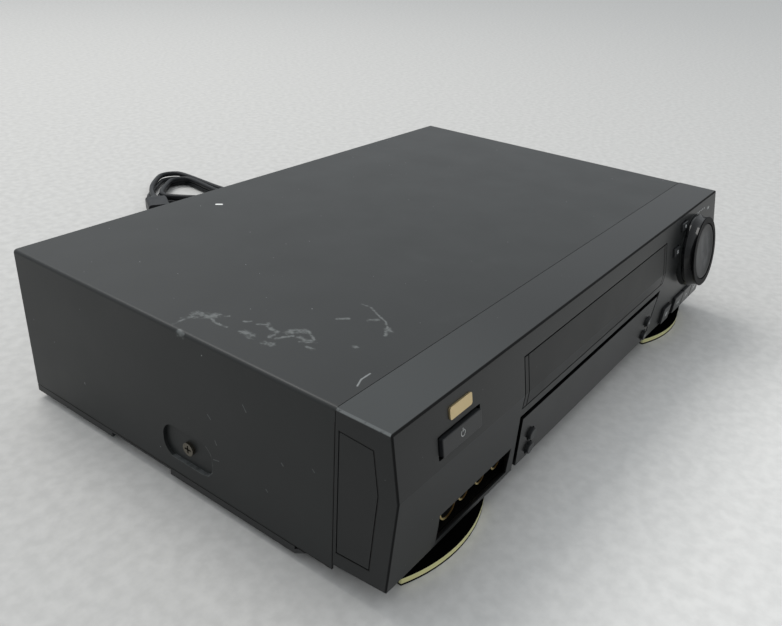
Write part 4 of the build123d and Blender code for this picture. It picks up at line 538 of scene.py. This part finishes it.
def behind_face(finish, lean):
    """Depth in metres behind one face of the front. Both faces pass through the crease."""
    inward = (0.0, cos(radians(lean)), sin(radians(lean)))
    offset = finish.vector("SUBTRACT", finish.place, crease_place)
    return finish.vector("DOT_PRODUCT", offset, inward, "Value")


def painted_recess_shade(finish):
    """Where painted shade goes: 1 behind the front's two faces and inside the case's outline. Gives the depth, x
    and z it used too.
    """
    depth = behind_face(finish, upper_lean).lower(behind_face(finish, lower_lean))
    x, z = finish.part(finish.place, "X").size(), finish.part(finish.place, "Z")
    inside = (finish.step(x, case_half_width - 0.0006, case_half_width - 0.0009)
              * finish.step(z, case_height - 0.0006, case_height - 0.0010))
    return finish.step(depth, *shade_depths) * inside, depth, x, z


def front_plastic(name, colour, roughness, gloss):
    """The front's moulded plastic, with painted shade, near black, in its holes and gaps."""
    finish = moulded(name, roughness, gloss)
    tone = dusty(finish, plastic_tone(finish, colour), 0.3)
    finish.feed(base_color=finish.mix(painted_recess_shade(finish)[0], tone, painted_shade_black))
    return finish


print("the front's faces meet at", round(180.0 + upper_lean - lower_lean, 1), "degrees")

# %% [markdown]
# The fascia is one moulding, and its edges show it. A dark line runs where the upper face meets the top and the
# ends, and the gap round the cap let into each end is painted with shade. The top is lighter towards its left end,
# and its corner has worn pale.

# %% Fascia
edge_line = 0.0009
fascia_roughness = 0.34
fascia_colour = (0.0165, 0.0175, 0.0175)
lighter_top_colour = (0.040, 0.043, 0.043)
corner_wear_colour = (0.20, 0.21, 0.21)
cap_outline = ((0.5, (25.4, 84.2), (7.8, 83.2), (4.5, 62.5), (7.3, 21.2), (25.4, 20.0)),)


def fascia_dark(finish, recess_shade, depth, x, z):
    """1 where painted shade darkens the fascia's holes and the gaps round its end caps, and in its edge lines.
    Gives the edge lines too.
    """
    top_line = finish.step(z, case_height - 1.4 * edge_line, case_height - 1.1 * edge_line)
    end_line = finish.step(x, case_half_width - 1.4 * edge_line, case_half_width - 1.1 * edge_line)
    line = top_line.higher(end_line) * finish.step(depth, edge_line * 0.8, edge_line * 0.4)
    # Painted shade in the gap round each end cap.
    cap_gap_shade = (finish.step(stroke_distance(finish, cap_outline, on_side=True), 1.1, 0.8)
               * finish.step(x, case_half_width - 0.0014, case_half_width - 0.0012))
    return recess_shade.higher(line).higher(cap_gap_shade), line


def fascia_plastic():
    """The fascia's plastic, with its worn corner, a top lighter at the left end, its dark lines and painted shade.
    """
    finish = moulded("fascia_plastic", fascia_roughness, gloss=0.25)
    recess_shade, depth, x, z = painted_recess_shade(finish)
    dark, line = fascia_dark(finish, recess_shade, depth, x, z)
    lighter_left_end = (finish.step(finish.part(finish.place, "X"), -0.06, -0.19)
                * finish.step(z, case_height - 0.0010, case_height - 0.0004))
    corner = (finish.step(x, case_half_width - 0.0012, case_half_width - 0.0005)
              * finish.step(z, case_height - 0.0012, case_height - 0.0005)
              * finish.step(finish.noise(0.0025, 4.0), 0.22, 0.48))
    tone = finish.mix(lighter_left_end, plastic_tone(finish, fascia_colour), lighter_top_colour)
    tone = finish.mix(corner * 0.6, dusty(finish, tone, 0.4), corner_wear_colour)
    finish.feed(base_color=finish.mix(dark, tone, painted_shade_black), roughness=fascia_roughness + 0.5 * line)
    return finish


# %% [markdown]
# ## Wear on the cover
#
# The top of the cover has been rubbed by something pale, scratched near the front, and chipped down to
# primer further back. Noise breaks the edge of each scuff into flakes, and a second noise leaves parts of
# it out.

# %% Wear on the top
scuffs = ((1.0, (-200, 118), (-199, 121)), (0.7, (-197, 127), (-192, 127), (-186, 126)),
          (0.6, (-191, 129), (-187, 126)), (2.4, (-184, 127), (-183, 123), (-180, 120)),
          (0.7, (-180, 120), (-177, 118)), (0.6, (-182, 119), (-184, 113), (-183, 107)),
          (0.6, (-178, 116), (-175, 114)), (0.6, (-182, 100), (-182, 96)), (1.6, (-181, 97), (-182, 92)),
          (0.6, (-174, 105), (-172, 103)), (0.6, (-172, 99), (-169, 95)),
          (0.9, (-168, 96), (-171, 91), (-171, 87), (-177, 86)), (0.7, (-176, 83), (-172, 81), (-169, 79)),
          (1.6, (-168, 83), (-165, 81), (-162, 78)), (0.6, (-161, 77), (-166, 68)),
          (1.0, (-168, 76), (-168, 72), (-166, 68)), (0.6, (-171, 73), (-168, 69)),
          (1.3, (-182, 84), (-181, 81)), (0.7, (-172, 68), (-172, 64)), (0.7, (-143, 75), (-139, 71)),
          (1.0, (-134, 63), (-131, 60)), (0.5, (-123, 76), (-123, 70), (-127, 63), (-130, 56), (-134, 52)),
          (0.7, (-134, 52), (-141, 48)), (1.3, (-135, 51), (-136, 49)), (0.8, (-158, 53), (-158, 51)))
scratch = ((0.45, (-182, 31), (-177, 33), (-171, 33)),)
chip = ((1.1, (-76, 233), (-74, 231)),)
scuff_colour = (0.115, 0.122, 0.120)
bare_colour = (0.26, 0.27, 0.27)
primer_colour = (0.80, 0.80, 0.78)


def cover_top(finish, base, ragged, flaky):
    """Scuffs, a scratch and a chip over a colour, on the top alone."""
    upward = finish.step(finish.part(finish.place, "Z"), case_height - 0.0042, case_height - 0.0026)
    scuffed = finish.step(stroke_distance(finish, scuffs) + ragged, 1.8, 0.2) * flaky * upward
    faint = finish.step(finish.noise(0.05, 3.0, shift=(0.4, 0.1, 0.0)), 0.62, 0.80) * 0.10
    scratched = finish.step(stroke_distance(finish, scratch) + 0.3 * ragged, 1.2, 0.5) * upward
    chipped = finish.step(stroke_distance(finish, chip), 1.1, 0.8) * upward
    base = finish.mix(scuffed.higher(faint), base, scuff_colour)
    base = finish.mix(scratched * 0.75, base, bare_colour)
    return finish.mix(chipped, base, primer_colour)


print("scuffs", len(scuffs))

# %% [markdown]
# The cover's sides have a pressed dish for a screw, whose rim has a painted highlight along it, and small nicks on
# the left. The cover stands a hair off the fascia and off the base, and both gaps are painted with shade.

# %% Wear on the sides
shaded_side_gaps = ((0.4, (27.4, 87.0), (27.4, 9.0)), (0.6, (27.4, 8.9), (240.0, 8.9)))
dish_rim_highlight = ((0.35, (134.0, 17.6), (111.0, 17.6), (106.5, 18.6), (103.6, 22.0), (102.9, 27.3), (103.8, 33.0),
             (107.0, 36.2)),)
side_nicks = ((0.35, (80, 72), (78, 69)), (0.35, (104, 56), (102, 54)), (0.3, (100, 43), (99, 41)),
              (0.4, (57, 52), (56, 51)), (0.35, (67, 32), (66, 31)), (0.25, (102, 31), (98, 32)),
              (0.3, (116, 20), (113, 19)), (0.3, (39, 58), (38, 57)))
rim_highlight_colour = (0.080, 0.085, 0.085)
nick_colour = (0.090, 0.096, 0.096)


def cover_side(finish, base, ragged, flaky):
    """The dish rim's painted highlight, the nicks and the gaps' painted shade over a colour, on the sides alone.
    """
    x = finish.part(finish.place, "X")
    on_side = finish.step(x.size(), case_half_width - 0.0025, case_half_width - 0.0020)
    on_left = finish.step(x, 0.0005 - case_half_width, -case_half_width)
    # Painted highlight along the dish's rim, broken into flakes by noise.
    rim = finish.step(stroke_distance(finish, dish_rim_highlight, True), 1.3, 0.5) * (0.4 + 0.6 * flaky) * on_side
    nick = finish.step(stroke_distance(finish, side_nicks, True) + 0.4 * ragged, 1.3, 0.4) * on_left
    # Painted shade in the gaps to the fascia and to the base.
    gap_shade = finish.step(stroke_distance(finish, shaded_side_gaps, True), 1.2, 0.8) * on_side
    base = finish.mix(nick, finish.mix(rim, base, rim_highlight_colour), nick_colour)
    return finish.mix(gap_shade, base, painted_shade_black)


def cover_paint(colour, roughness):
    """The cover's paint, with all its wear, and the painted highlight and shade on its sides."""
    finish, tone = sprayed("cover_paint", colour, roughness)
    ragged = 3.0 * (finish.noise(0.0013, 5.0, (1.0, 1.6, 1.0)) - 0.5)
    flaky = finish.step(finish.noise(0.0030, 4.0), 0.30, 0.62)
    base = cover_top(finish, dusty(finish, tone, 1.0, 0.0050), ragged, flaky)
    finish.feed(base_color=cover_side(finish, base, ragged, flaky))
    return finish


print("nicks", len(side_nicks))

# %% [markdown]
# ## Boards and what stands on them
#
# A circuit board is a brown phenolic sheet with a lacquered track side. From a little way off it reads as a
# dense pattern of paths, which cells with thin walls give at the right scale. The parts that stand on it
# are capacitors in dark blue sleeves and black chips, told from the sheet by their height above it.
# The board behind the front stands upright, so height says nothing there, and it is left out.

# %% Circuit board
board_top = 0.0136
front_board_depths = (0.040, 0.045)
path_size = 0.0055
scattered_size = 0.011
sheet_brown = ((0.16, 0.10, 0.035), (0.22, 0.145, 0.055))
path_brown = (0.07, 0.05, 0.02)
sleeve_blue = (0.012, 0.020, 0.055)
chip_black = (0.012, 0.012, 0.013)


def circuit_board():
    """Brown board with darker tracks, and dark parts standing on it."""
    finish = Finish("circuit_board", roughness=0.45)
    tracks = finish.step(finish.cells(path_size, "DISTANCE_TO_EDGE"), 0.12, 0.08)
    ground = finish.mix(finish.noise(0.03, 2.0), *sheet_brown)
    sheet_tone = finish.mix(tracks * 0.6, ground, path_brown)
    blue_or_black = finish.step(finish.noise(scattered_size, 0.0), 0.45, 0.50)
    part_tone = finish.mix(blue_or_black, sleeve_blue, chip_black)
    low, high = (front_y + depth for depth in front_board_depths)
    raised = (finish.step(finish.part(finish.place, "Z"), board_top + 0.0003, board_top + 0.0006)
              * finish.step(finish.part(finish.place, "Y"), low, high))
    finish.feed(base_color=finish.mix(raised, sheet_tone, part_tone))
    return finish


# %% [markdown]
# ## The dial
#
# The disc is a shallow dish in satin grey, smeared by fingers. It is painted darker towards its rim, as painted
# shade in the dish, and the distance from the dial's axis gives that shading. The ring round it is black: matt in
# front, where it is gripped, and lacquered round its flank, which a coat of varnish gives.

# %% Dial
dial_place = (0.1478, -0.1380, 0.0656)
dial_reach = 0.0097
disc_middle = (0.042, 0.043, 0.045)
disc_smear = (0.080, 0.082, 0.085)
disc_rim_shade = (0.008, 0.008, 0.009)


def disc_finish():
    """Satin grey with painted shade towards the disc's rim, and finger smears."""
    finish = moulded("satin_grey", 0.40, gloss=0.22)
    # Painted shade, darker towards the disc's rim.
    rim = finish.step(finish.vector("DISTANCE", finish.place, dial_place, "Value"), 0.0100, 0.0180)
    smear = finish.step(finish.noise(0.006, 5.0, (1.0, 1.0, 2.2)), 0.46, 0.64)
    tone = finish.mix(rim, finish.mix(smear, disc_middle, disc_smear), disc_rim_shade)
    finish.feed(base_color=dusty(finish, tone, 0.5, 0.0025))
    return finish


def ring_finish(colour):
    """Black ring: matt on its front and lacquered round its flank."""
    finish = Finish("gloss_black", base_color=colour, roughness=0.45, specular_ior_level=0.06,
                    coat_roughness=0.10)
    behind_front = behind_face(finish, upper_lean) + dial_reach
    finish.feed(coat_weight=0.55 * finish.step(behind_front, 0.0003, 0.0012))
    return finish


# %% [markdown]
# ## Gold
#
# The sockets are gold plated. The front ones sit under the lip of their recess, which shades all but their lower
# left edges, so the rest of each is painted a dark shaded brown and the lower left edge keeps the plating's
# colour. The gold band in each foot and the bar above the power button are foil on plastic. The band is paler and
# the bar deeper: partly their own colours, and partly painted light and shade, for the band faces down and the bar
# up.

# %% Gold
socket_height = 0.0234
socket_lights = ((-0.1042, 0.0045), (-0.1192, 0.0045), (-0.1342, 0.0045), (-0.1476, 0.0075))
shaded_plating = (0.20, 0.12, 0.04)
plating_colour = (1.0, 0.80, 0.38)
bar_gold_with_shade = (0.64, 0.50, 0.27)
band_gold_with_light = (1.0, 0.96, 0.52)


def socket_finish():
    """Gold plating, with painted shade on each front socket but its lower left edge, and none at the rear."""
    finish = plated("gold_plate", 0.30, metallic=0.5)
    x, z = finish.part(finish.place, "X"), finish.part(finish.place, "Z")
    # Painted shade: each front socket is shaded but for its lower left edge, where light gets in under the lip.
    lit_edges = 0.0
    for middle, radius in socket_lights:
        aside = finish.step(x, middle + 0.1 * radius, middle - 0.5 * radius)
        near = finish.step(x, middle - 1.25 * radius, middle - 1.1 * radius)
        lit_edges = (aside * near).higher(lit_edges)
    lit_edges = lit_edges * finish.step(z, socket_height + 0.002, socket_height - 0.001)
    rear = finish.step(finish.part(finish.place, "Y"), 0.0, 0.05)
    finish.feed(base_color=finish.mix(lit_edges.higher(rear), shaded_plating, plating_colour))
    return finish


def trim_finish():
    """Satin gold foil, paler low down: partly its own colour, partly painted light."""
    finish = plated("gold_trim", 0.32, (60.0, 1.0, 1.0), metallic=0.7)
    # Painted light and shade: the band, low down, is paler and the bar darker, over their own difference in hue.
    low = finish.step(finish.part(finish.place, "Z"), 0.03, 0.02)
    finish.feed(base_color=finish.mix(low, bar_gold_with_shade, band_gold_with_light))
    return finish


# %% [markdown]
# ## A finish for every slot
#
# Each piece names a material slot, and each slot gets one finish. A dictionary keeps the pairs in one
# place.

# %% Finishes by slot
finishes = {
    "cover_paint": cover_paint((0.0165, 0.0180, 0.0178), 0.43),
    "panel_paint": panel_paint((0.018, 0.019, 0.019), 0.5),
    "fascia_plastic": fascia_plastic(),
    "inset_plastic": front_plastic("inset_plastic", (0.014, 0.015, 0.015), 0.42, gloss=0.3),
    "door_plastic": front_plastic("door_plastic", (0.0105, 0.011, 0.011), 0.36, gloss=0.20),
    "key_plastic": front_plastic("key_plastic", (0.020, 0.021, 0.022), 0.30, gloss=0.3),
    "base_plastic": moulding("base_plastic", (0.016, 0.0165, 0.0165), 0.5),
    "foot_plastic": moulding("foot_plastic", (0.0015, 0.0015, 0.0015), 0.6, gloss=0.0, dust=0.0),
    "smoke_window": front_plastic("smoke_window", (0.012, 0.0117, 0.012), 0.25, gloss=0.25),
    "gloss_black": ring_finish((0.002, 0.002, 0.0025)),
    "satin_grey": disc_finish(),
    "jack_plastic": moulding("jack_plastic", (0.0025, 0.0025, 0.0025), 0.5, gloss=0.05, dust=0.0),
    "gold_trim": trim_finish(),
    "gold_plate": socket_finish(),
    "zinc": metal("zinc", (0.17, 0.155, 0.125), 0.36),
    "tin_plate": metal("tin_plate", (0.62, 0.62, 0.60), 0.30, (1.0, 40.0, 1.0)),
    "steel": metal("steel", (0.58, 0.58, 0.57), 0.32, (1.0, 60.0, 1.0)),
    "aluminium": metal("aluminium", (0.78, 0.78, 0.79), 0.24, (60.0, 60.0, 1.0)),
    "brass": metal("brass", (0.62, 0.52, 0.30), 0.35),
    "rubber": rubbery("rubber", (0.018, 0.018, 0.018), 0.62),
    "cord_black": rubbery("cord_black", (0.0045, 0.0052, 0.0065), 0.38, gloss=0.25),
    "mech_plastic": moulding("mech_plastic", (0.62, 0.61, 0.57), 0.42),
    "cable_white": moulding("cable_white", (0.72, 0.72, 0.70), 0.5),
    "ferrite": moulding("ferrite", (0.05, 0.05, 0.055), 0.6),
    "display_glass": display_glass((0.03, 0.05, 0.05), 0.06),
    "circuit_board": circuit_board(),
}


def dress(piece, slot):
    """Gives a piece one finish."""
    piece.data.materials.clear()
    piece.data.materials.append(finishes[slot].material)


for subpart in frame["record"]["subparts"]:
    dress(nodes[subpart["node"]], subpart["material_slot"])
dress(mains_cord, "cord_black")
print("finishes", len(finishes))

# %% [markdown]
# ## Marks on the keys
#
# The keys carry plain pictures: a triangle to play, a square to stop. Ink has almost no thickness, but a
# real shape a few hundredths of a millimetre proud renders crisply and is kept in the mesh. Each mark is
# drawn flat with bmesh, then turned onto its key, whose press direction gives the way that the face looks.

# %% Ink and flat marks
ink_height = 0.00004
ink_colour = (0.62, 0.63, 0.62)
ink = Finish("ink", roughness=0.5)
ink.feed(base_color=ink.mix(ink.noise(0.0012, 2.0), shade(ink_colour, 0.8), ink_colour))


def mesh_piece(name, mesh, material):
    """An object made from a bmesh, which is used up, with one material."""
    data = bpy.data.meshes.new(name)
    mesh.to_mesh(data)
    mesh.free()
    data.materials.append(material)
    piece = bpy.data.objects.new(name, data)
    bpy.context.scene.collection.objects.link(piece)
    return piece


def flat_mark(name, outlines, place, body):
    """A mark from flat outlines in millimetres, lifted to ink height and put in place."""
    mesh = bmesh.new()
    for outline in outlines:
        corners = [mesh.verts.new((x * millimetre, y * millimetre, 0.0)) for x, y in outline]
        mesh.faces.new(corners)
    made = bmesh.ops.extrude_face_region(mesh, geom=mesh.faces[:])
    lifted = [item for item in made["geom"] if isinstance(item, bmesh.types.BMVert)]
    bmesh.ops.translate(mesh, verts=lifted, vec=(0.0, 0.0, ink_height))
    bmesh.ops.recalc_face_normals(mesh, faces=mesh.faces)
    bmesh.ops.transform(mesh, matrix=place, verts=mesh.verts)
    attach(mesh_piece(name, mesh, ink.material), body)


# %% [markdown]
# A mark needs a frame to be drawn in: its origin in the middle of the key's face, and its third axis
# looking out of it. The face is found from the mesh, as the vertices that stand furthest out against the
# key's press.

# %% Where a mark goes
flatness = 0.00002
along_x = Vector((1.0, 0.0, 0.0))


def facing(place, outward):
    """A frame at a place, whose first axis runs along X and whose third looks outward."""
    turn = Matrix((along_x, outward.cross(along_x), outward)).transposed().to_4x4()
    return Matrix.Translation(place) @ turn


def outer_face(node, inward):
    """A frame in the middle of a node's outermost face, looking against a direction."""
    mesh = nodes[node].data
    depths = [vertex.co.dot(inward) for vertex in mesh.vertices]
    front = min(depths)
    face = [vertex.co for vertex, depth in zip(mesh.vertices, depths) if depth < front + flatness]
    low = Vector([min(place[axis] for place in face) for axis in range(3)])
    high = Vector([max(place[axis] for place in face) for axis in range(3)])
    return facing((low + high) / 2, -inward)


def inward_of(body):
    """Unit direction in which a body's joint moves."""
    return next(Vector(joint["axis"]).normalized() for joint in frame["joints"] if joint["child"] == body)


def front_place(x, z):
    """A frame on the front's upper face, at a place in metres."""
    outward = Vector((0.0, -cos(radians(upper_lean)), -sin(radians(upper_lean))))
    y = crease_place[1] + (z - crease_place[2]) * tan(radians(-upper_lean))
    return facing((x, y, z), outward)


print("power button looks", [round(part, 3) for part in -inward_of("power_button")])

# %% [markdown]
# The pictures are outlines in millimetres: arrows, bars, a dot, and for standby an open ring with a bar.

# %% Outlines
round_steps = 24


def ring_outline(radius, width, start, end):
    """A band between two radii, from one angle to another, as quads."""
    angles = [radians(start + (end - start) * index / round_steps) for index in range(round_steps + 1)]
    inner = radius - width
    return [((radius * cos(a), radius * sin(a)), (radius * cos(b), radius * sin(b)),
             (inner * cos(b), inner * sin(b)), (inner * cos(a), inner * sin(a)))
            for a, b in zip(angles, angles[1:])]


def dot_outline(radius):
    """A round outline."""
    angles = [2 * pi * index / round_steps for index in range(round_steps)]
    return tuple((radius * cos(angle), radius * sin(angle)) for angle in angles)


def arrow(x, half, side):
    """A triangle that points along X, to either side."""
    return ((x - side * half * 0.8, -half), (x + side * half * 0.8, 0.0), (x - side * half * 0.8, half))


def bar(x, y, width, height):
    """An upright rectangle about a middle."""
    return ((x - width / 2, y - height / 2), (x + width / 2, y - height / 2),
            (x + width / 2, y + height / 2), (x - width / 2, y + height / 2))


# %% [markdown]
# Every key gets its own picture, so a mark moves when its key is pressed. Ticks and arrows stand beside the
# dial, on the front itself, and those ride on the recorder.

# %% Marks
mark_shapes = {
    "play_key": [arrow(0.0, 2.0, 1)],
    "rewind_key": [arrow(-1.5, 1.7, -1), arrow(1.5, 1.7, -1)],
    "forward_key": [arrow(-1.5, 1.7, 1), arrow(1.5, 1.7, 1)],
    "stop_key": [bar(0.0, 0.0, 3.2, 3.2)],
    "record_key": [dot_outline(1.1)],
    "eject_key": [((-1.5, -0.1), (1.5, -0.1), (0.0, 1.4)), bar(0.0, -0.9, 3.0, 0.6)],
    "power_button": ring_outline(1.7, 0.35, 120.0, 420.0) + [bar(0.0, 1.5, 0.4, 1.8)],
    "channel_up_key": [((-1.1, -0.7), (1.1, -0.7), (0.0, 1.0))],
    "channel_down_key": [((-1.1, 0.7), (0.0, -1.0), (1.1, 0.7))],
}
for node, outlines in mark_shapes.items():
    name = node.replace("_key", "").replace("_button", "") + "_mark"
    flat_mark(name, outlines, outer_face(node, inward_of(node)), node)

scale_ticks = [bar(x, 0.0, 1.5, 0.9) for x in (-7.0, -3.5, 0.0, 3.5, 7.0)]
dial_marks = {
    "shuttle_scale": (scale_ticks, 0.1660, 0.0876),
    "shuttle_forward": ([arrow(-1.0, 1.2, 1), arrow(1.0, 1.2, 1)], 0.1832, 0.0855),
    "shuttle_play": ([arrow(0.0, 1.2, 1)], 0.1915, 0.0752),
}
for name, (outlines, x, z) in dial_marks.items():
    flat_mark(name, outlines, front_place(x, z), "recorder")
print("marks", len(mark_shapes) + len(dial_marks))

# %% [markdown]
# ## A tie on the cord
#
# A cord is sold in a hank, held at its waist by a twist tie: a strip of black plastic with a wire in it. It goes
# once round the strands, and its two ends are twisted together on top. The band is a closed outline drawn round
# the strands and given a width; the twist is a narrow ribbon that turns as it goes. The tie lies on the cord.

# %% Twist tie
tie_outline = ((-2.9, 0.15), (18.9, 0.15), (19.2, 2.8), (19.2, 8.2), (17.6, 10.6), (4.5, 10.6), (1.7, 8.6),
               (-2.6, 4.6), (-3.1, 2.6))
tie_width = 4.0
tie_thickness = 0.00015
twist_steps = 24
twist_length = 22.0
twist_half_width = 1.4
twist_turns = 3.5
twist_place = (11.0, 12.2)
twist_rise = 2.0

tie_mesh = bmesh.new()
near_edge = [tie_mesh.verts.new(hank_point(waist[0] - tie_width / 2, *place)) for place in tie_outline]
far_edge = [tie_mesh.verts.new(hank_point(waist[0] + tie_width / 2, *place)) for place in tie_outline]
for index in range(len(tie_outline)):
    tie_mesh.faces.new((near_edge[index - 1], near_edge[index], far_edge[index], far_edge[index - 1]))
before = None
for index in range(twist_steps + 1):
    share = index / twist_steps
    angle = 2 * pi * twist_turns * share
    across, lift = twist_half_width * cos(angle), twist_half_width * sin(angle)
    rim = [tie_mesh.verts.new(hank_point(waist[0] - twist_length * share, twist_place[0] + side * across,
                                         twist_place[1] + side * lift + twist_rise * share))
           for side in (-1.0, 1.0)]
    if before:
        tie_mesh.faces.new((*before, *reversed(rim)))
    before = rim
bmesh.ops.recalc_face_normals(tie_mesh, faces=tie_mesh.faces)
bmesh.ops.solidify(tie_mesh, geom=tie_mesh.faces[:], thickness=tie_thickness)
cord_tie = mesh_piece("cord_tie", tie_mesh, finishes["cord_black"].material)
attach(cord_tie, "recorder")
depth_point(*lead_points[0])
print("tie faces", len(cord_tie.data.polygons))

# %% [markdown]
# ## The floor
#
# The recorder stands on a pale, faintly mottled sheet, with a painted pool of light on it in front. A pale floor
# would throw light up at the recorder and grey its blacks, so only the rays that show the background see it pale:
# those that go straight to the camera, or by way of metal or glass.

# %% Floor
floor_half = 9.0
floor_grey = (0.34, 0.34, 0.34)
light_pool_place = (-0.05, -0.38, 0.0)
light_pool_edge = (0.36, 0.18)
shown_kinds = ("Camera", "Glossy", "Transmission")


def shown_rays(tree):
    """1 for the rays that show the background."""
    seen = [tree.node("ShaderNodeLightPath", {}, {}, f"Is {kind} Ray") for kind in shown_kinds]
    return seen[0].higher(seen[1]).higher(seen[2])


sheet = Finish("floor_sheet", roughness=0.9, specular_ior_level=0.2)
mottle = sheet.step(sheet.noise(0.007, 6.0), 0.25, 0.75)
pale = sheet.mix(mottle, (0.500, 0.493, 0.480), (0.570, 0.562, 0.547))
# Painted light: a pool of lighter floor in front.
lighter = sheet.mix(mottle, (0.670, 0.661, 0.645), (0.750, 0.740, 0.722))
in_light_pool = sheet.step(sheet.vector("DISTANCE", sheet.place, light_pool_place, "Value"), *light_pool_edge)
sheet.feed(base_color=sheet.mix(shown_rays(sheet), floor_grey, sheet.mix(in_light_pool, pale, lighter)))

floor_mesh = bmesh.new()
bmesh.ops.create_grid(floor_mesh, x_segments=1, y_segments=1, size=floor_half)
floor = mesh_piece("floor", floor_mesh, sheet.material)
print("floor", 2 * floor_half, "m across")

# %% [markdown]
# ## The light
#
# Soft light comes from a wide lamp overhead and from a sky that is brighter high up and behind, as a room
# with a pale ceiling is. The lamp gives the top its sheen and the recorder a soft shadow, and the sky fills
# in the rest. Low down, the sky is never darker than a pale backdrop for the rays that show it.

# %% Light
sky_colour = (0.93, 0.97, 1.0)
lamp_colour = (1.0, 0.98, 0.95)
backdrop_strength = 0.60

world = bpy.data.worlds.new("world")
bpy.context.scene.world = world
sky = Tree(world)
toward = sky.node("ShaderNodeTexCoord", {}, {}, "Generated")
overhead = 0.34 + 0.74 * sky.step(sky.part(toward, "Z"), 0.05, 0.60)
behind = 0.72 + 0.36 * sky.step(sky.part(toward, "Y"), -0.7, 0.7)
background = sky.tree.nodes["Background"]
sky.put(background.inputs["Color"], sky_colour)
sky.put(background.inputs["Strength"], (overhead * behind).higher(backdrop_strength * shown_rays(sky)))


def area_lamp(name, place, target, size, power, colour):
    """A square lamp that faces a point."""
    data = bpy.data.lights.new(name, "AREA")
    data.size = size
    data.energy = power
    data.color = colour
    lamp = bpy.data.objects.new(name, data)
    bpy.context.scene.collection.objects.link(lamp)
    lamp.location = place
    lamp.rotation_mode = "QUATERNION"
    lamp.rotation_quaternion = (Vector(place) - Vector(target)).to_track_quat("Z", "Y")


area_lamp("ceiling", place=(0.1, 1.2, 2.0), target=(0.0, 0.0, 0.05), size=1.05, power=21.0,
          colour=lamp_colour)
print("lamps", len(bpy.data.lights))

# %% [markdown]
# ## The last settings
#
# Standard shows each colour about as it is written.

bpy.context.scene.view_settings.view_transform = "Standard"
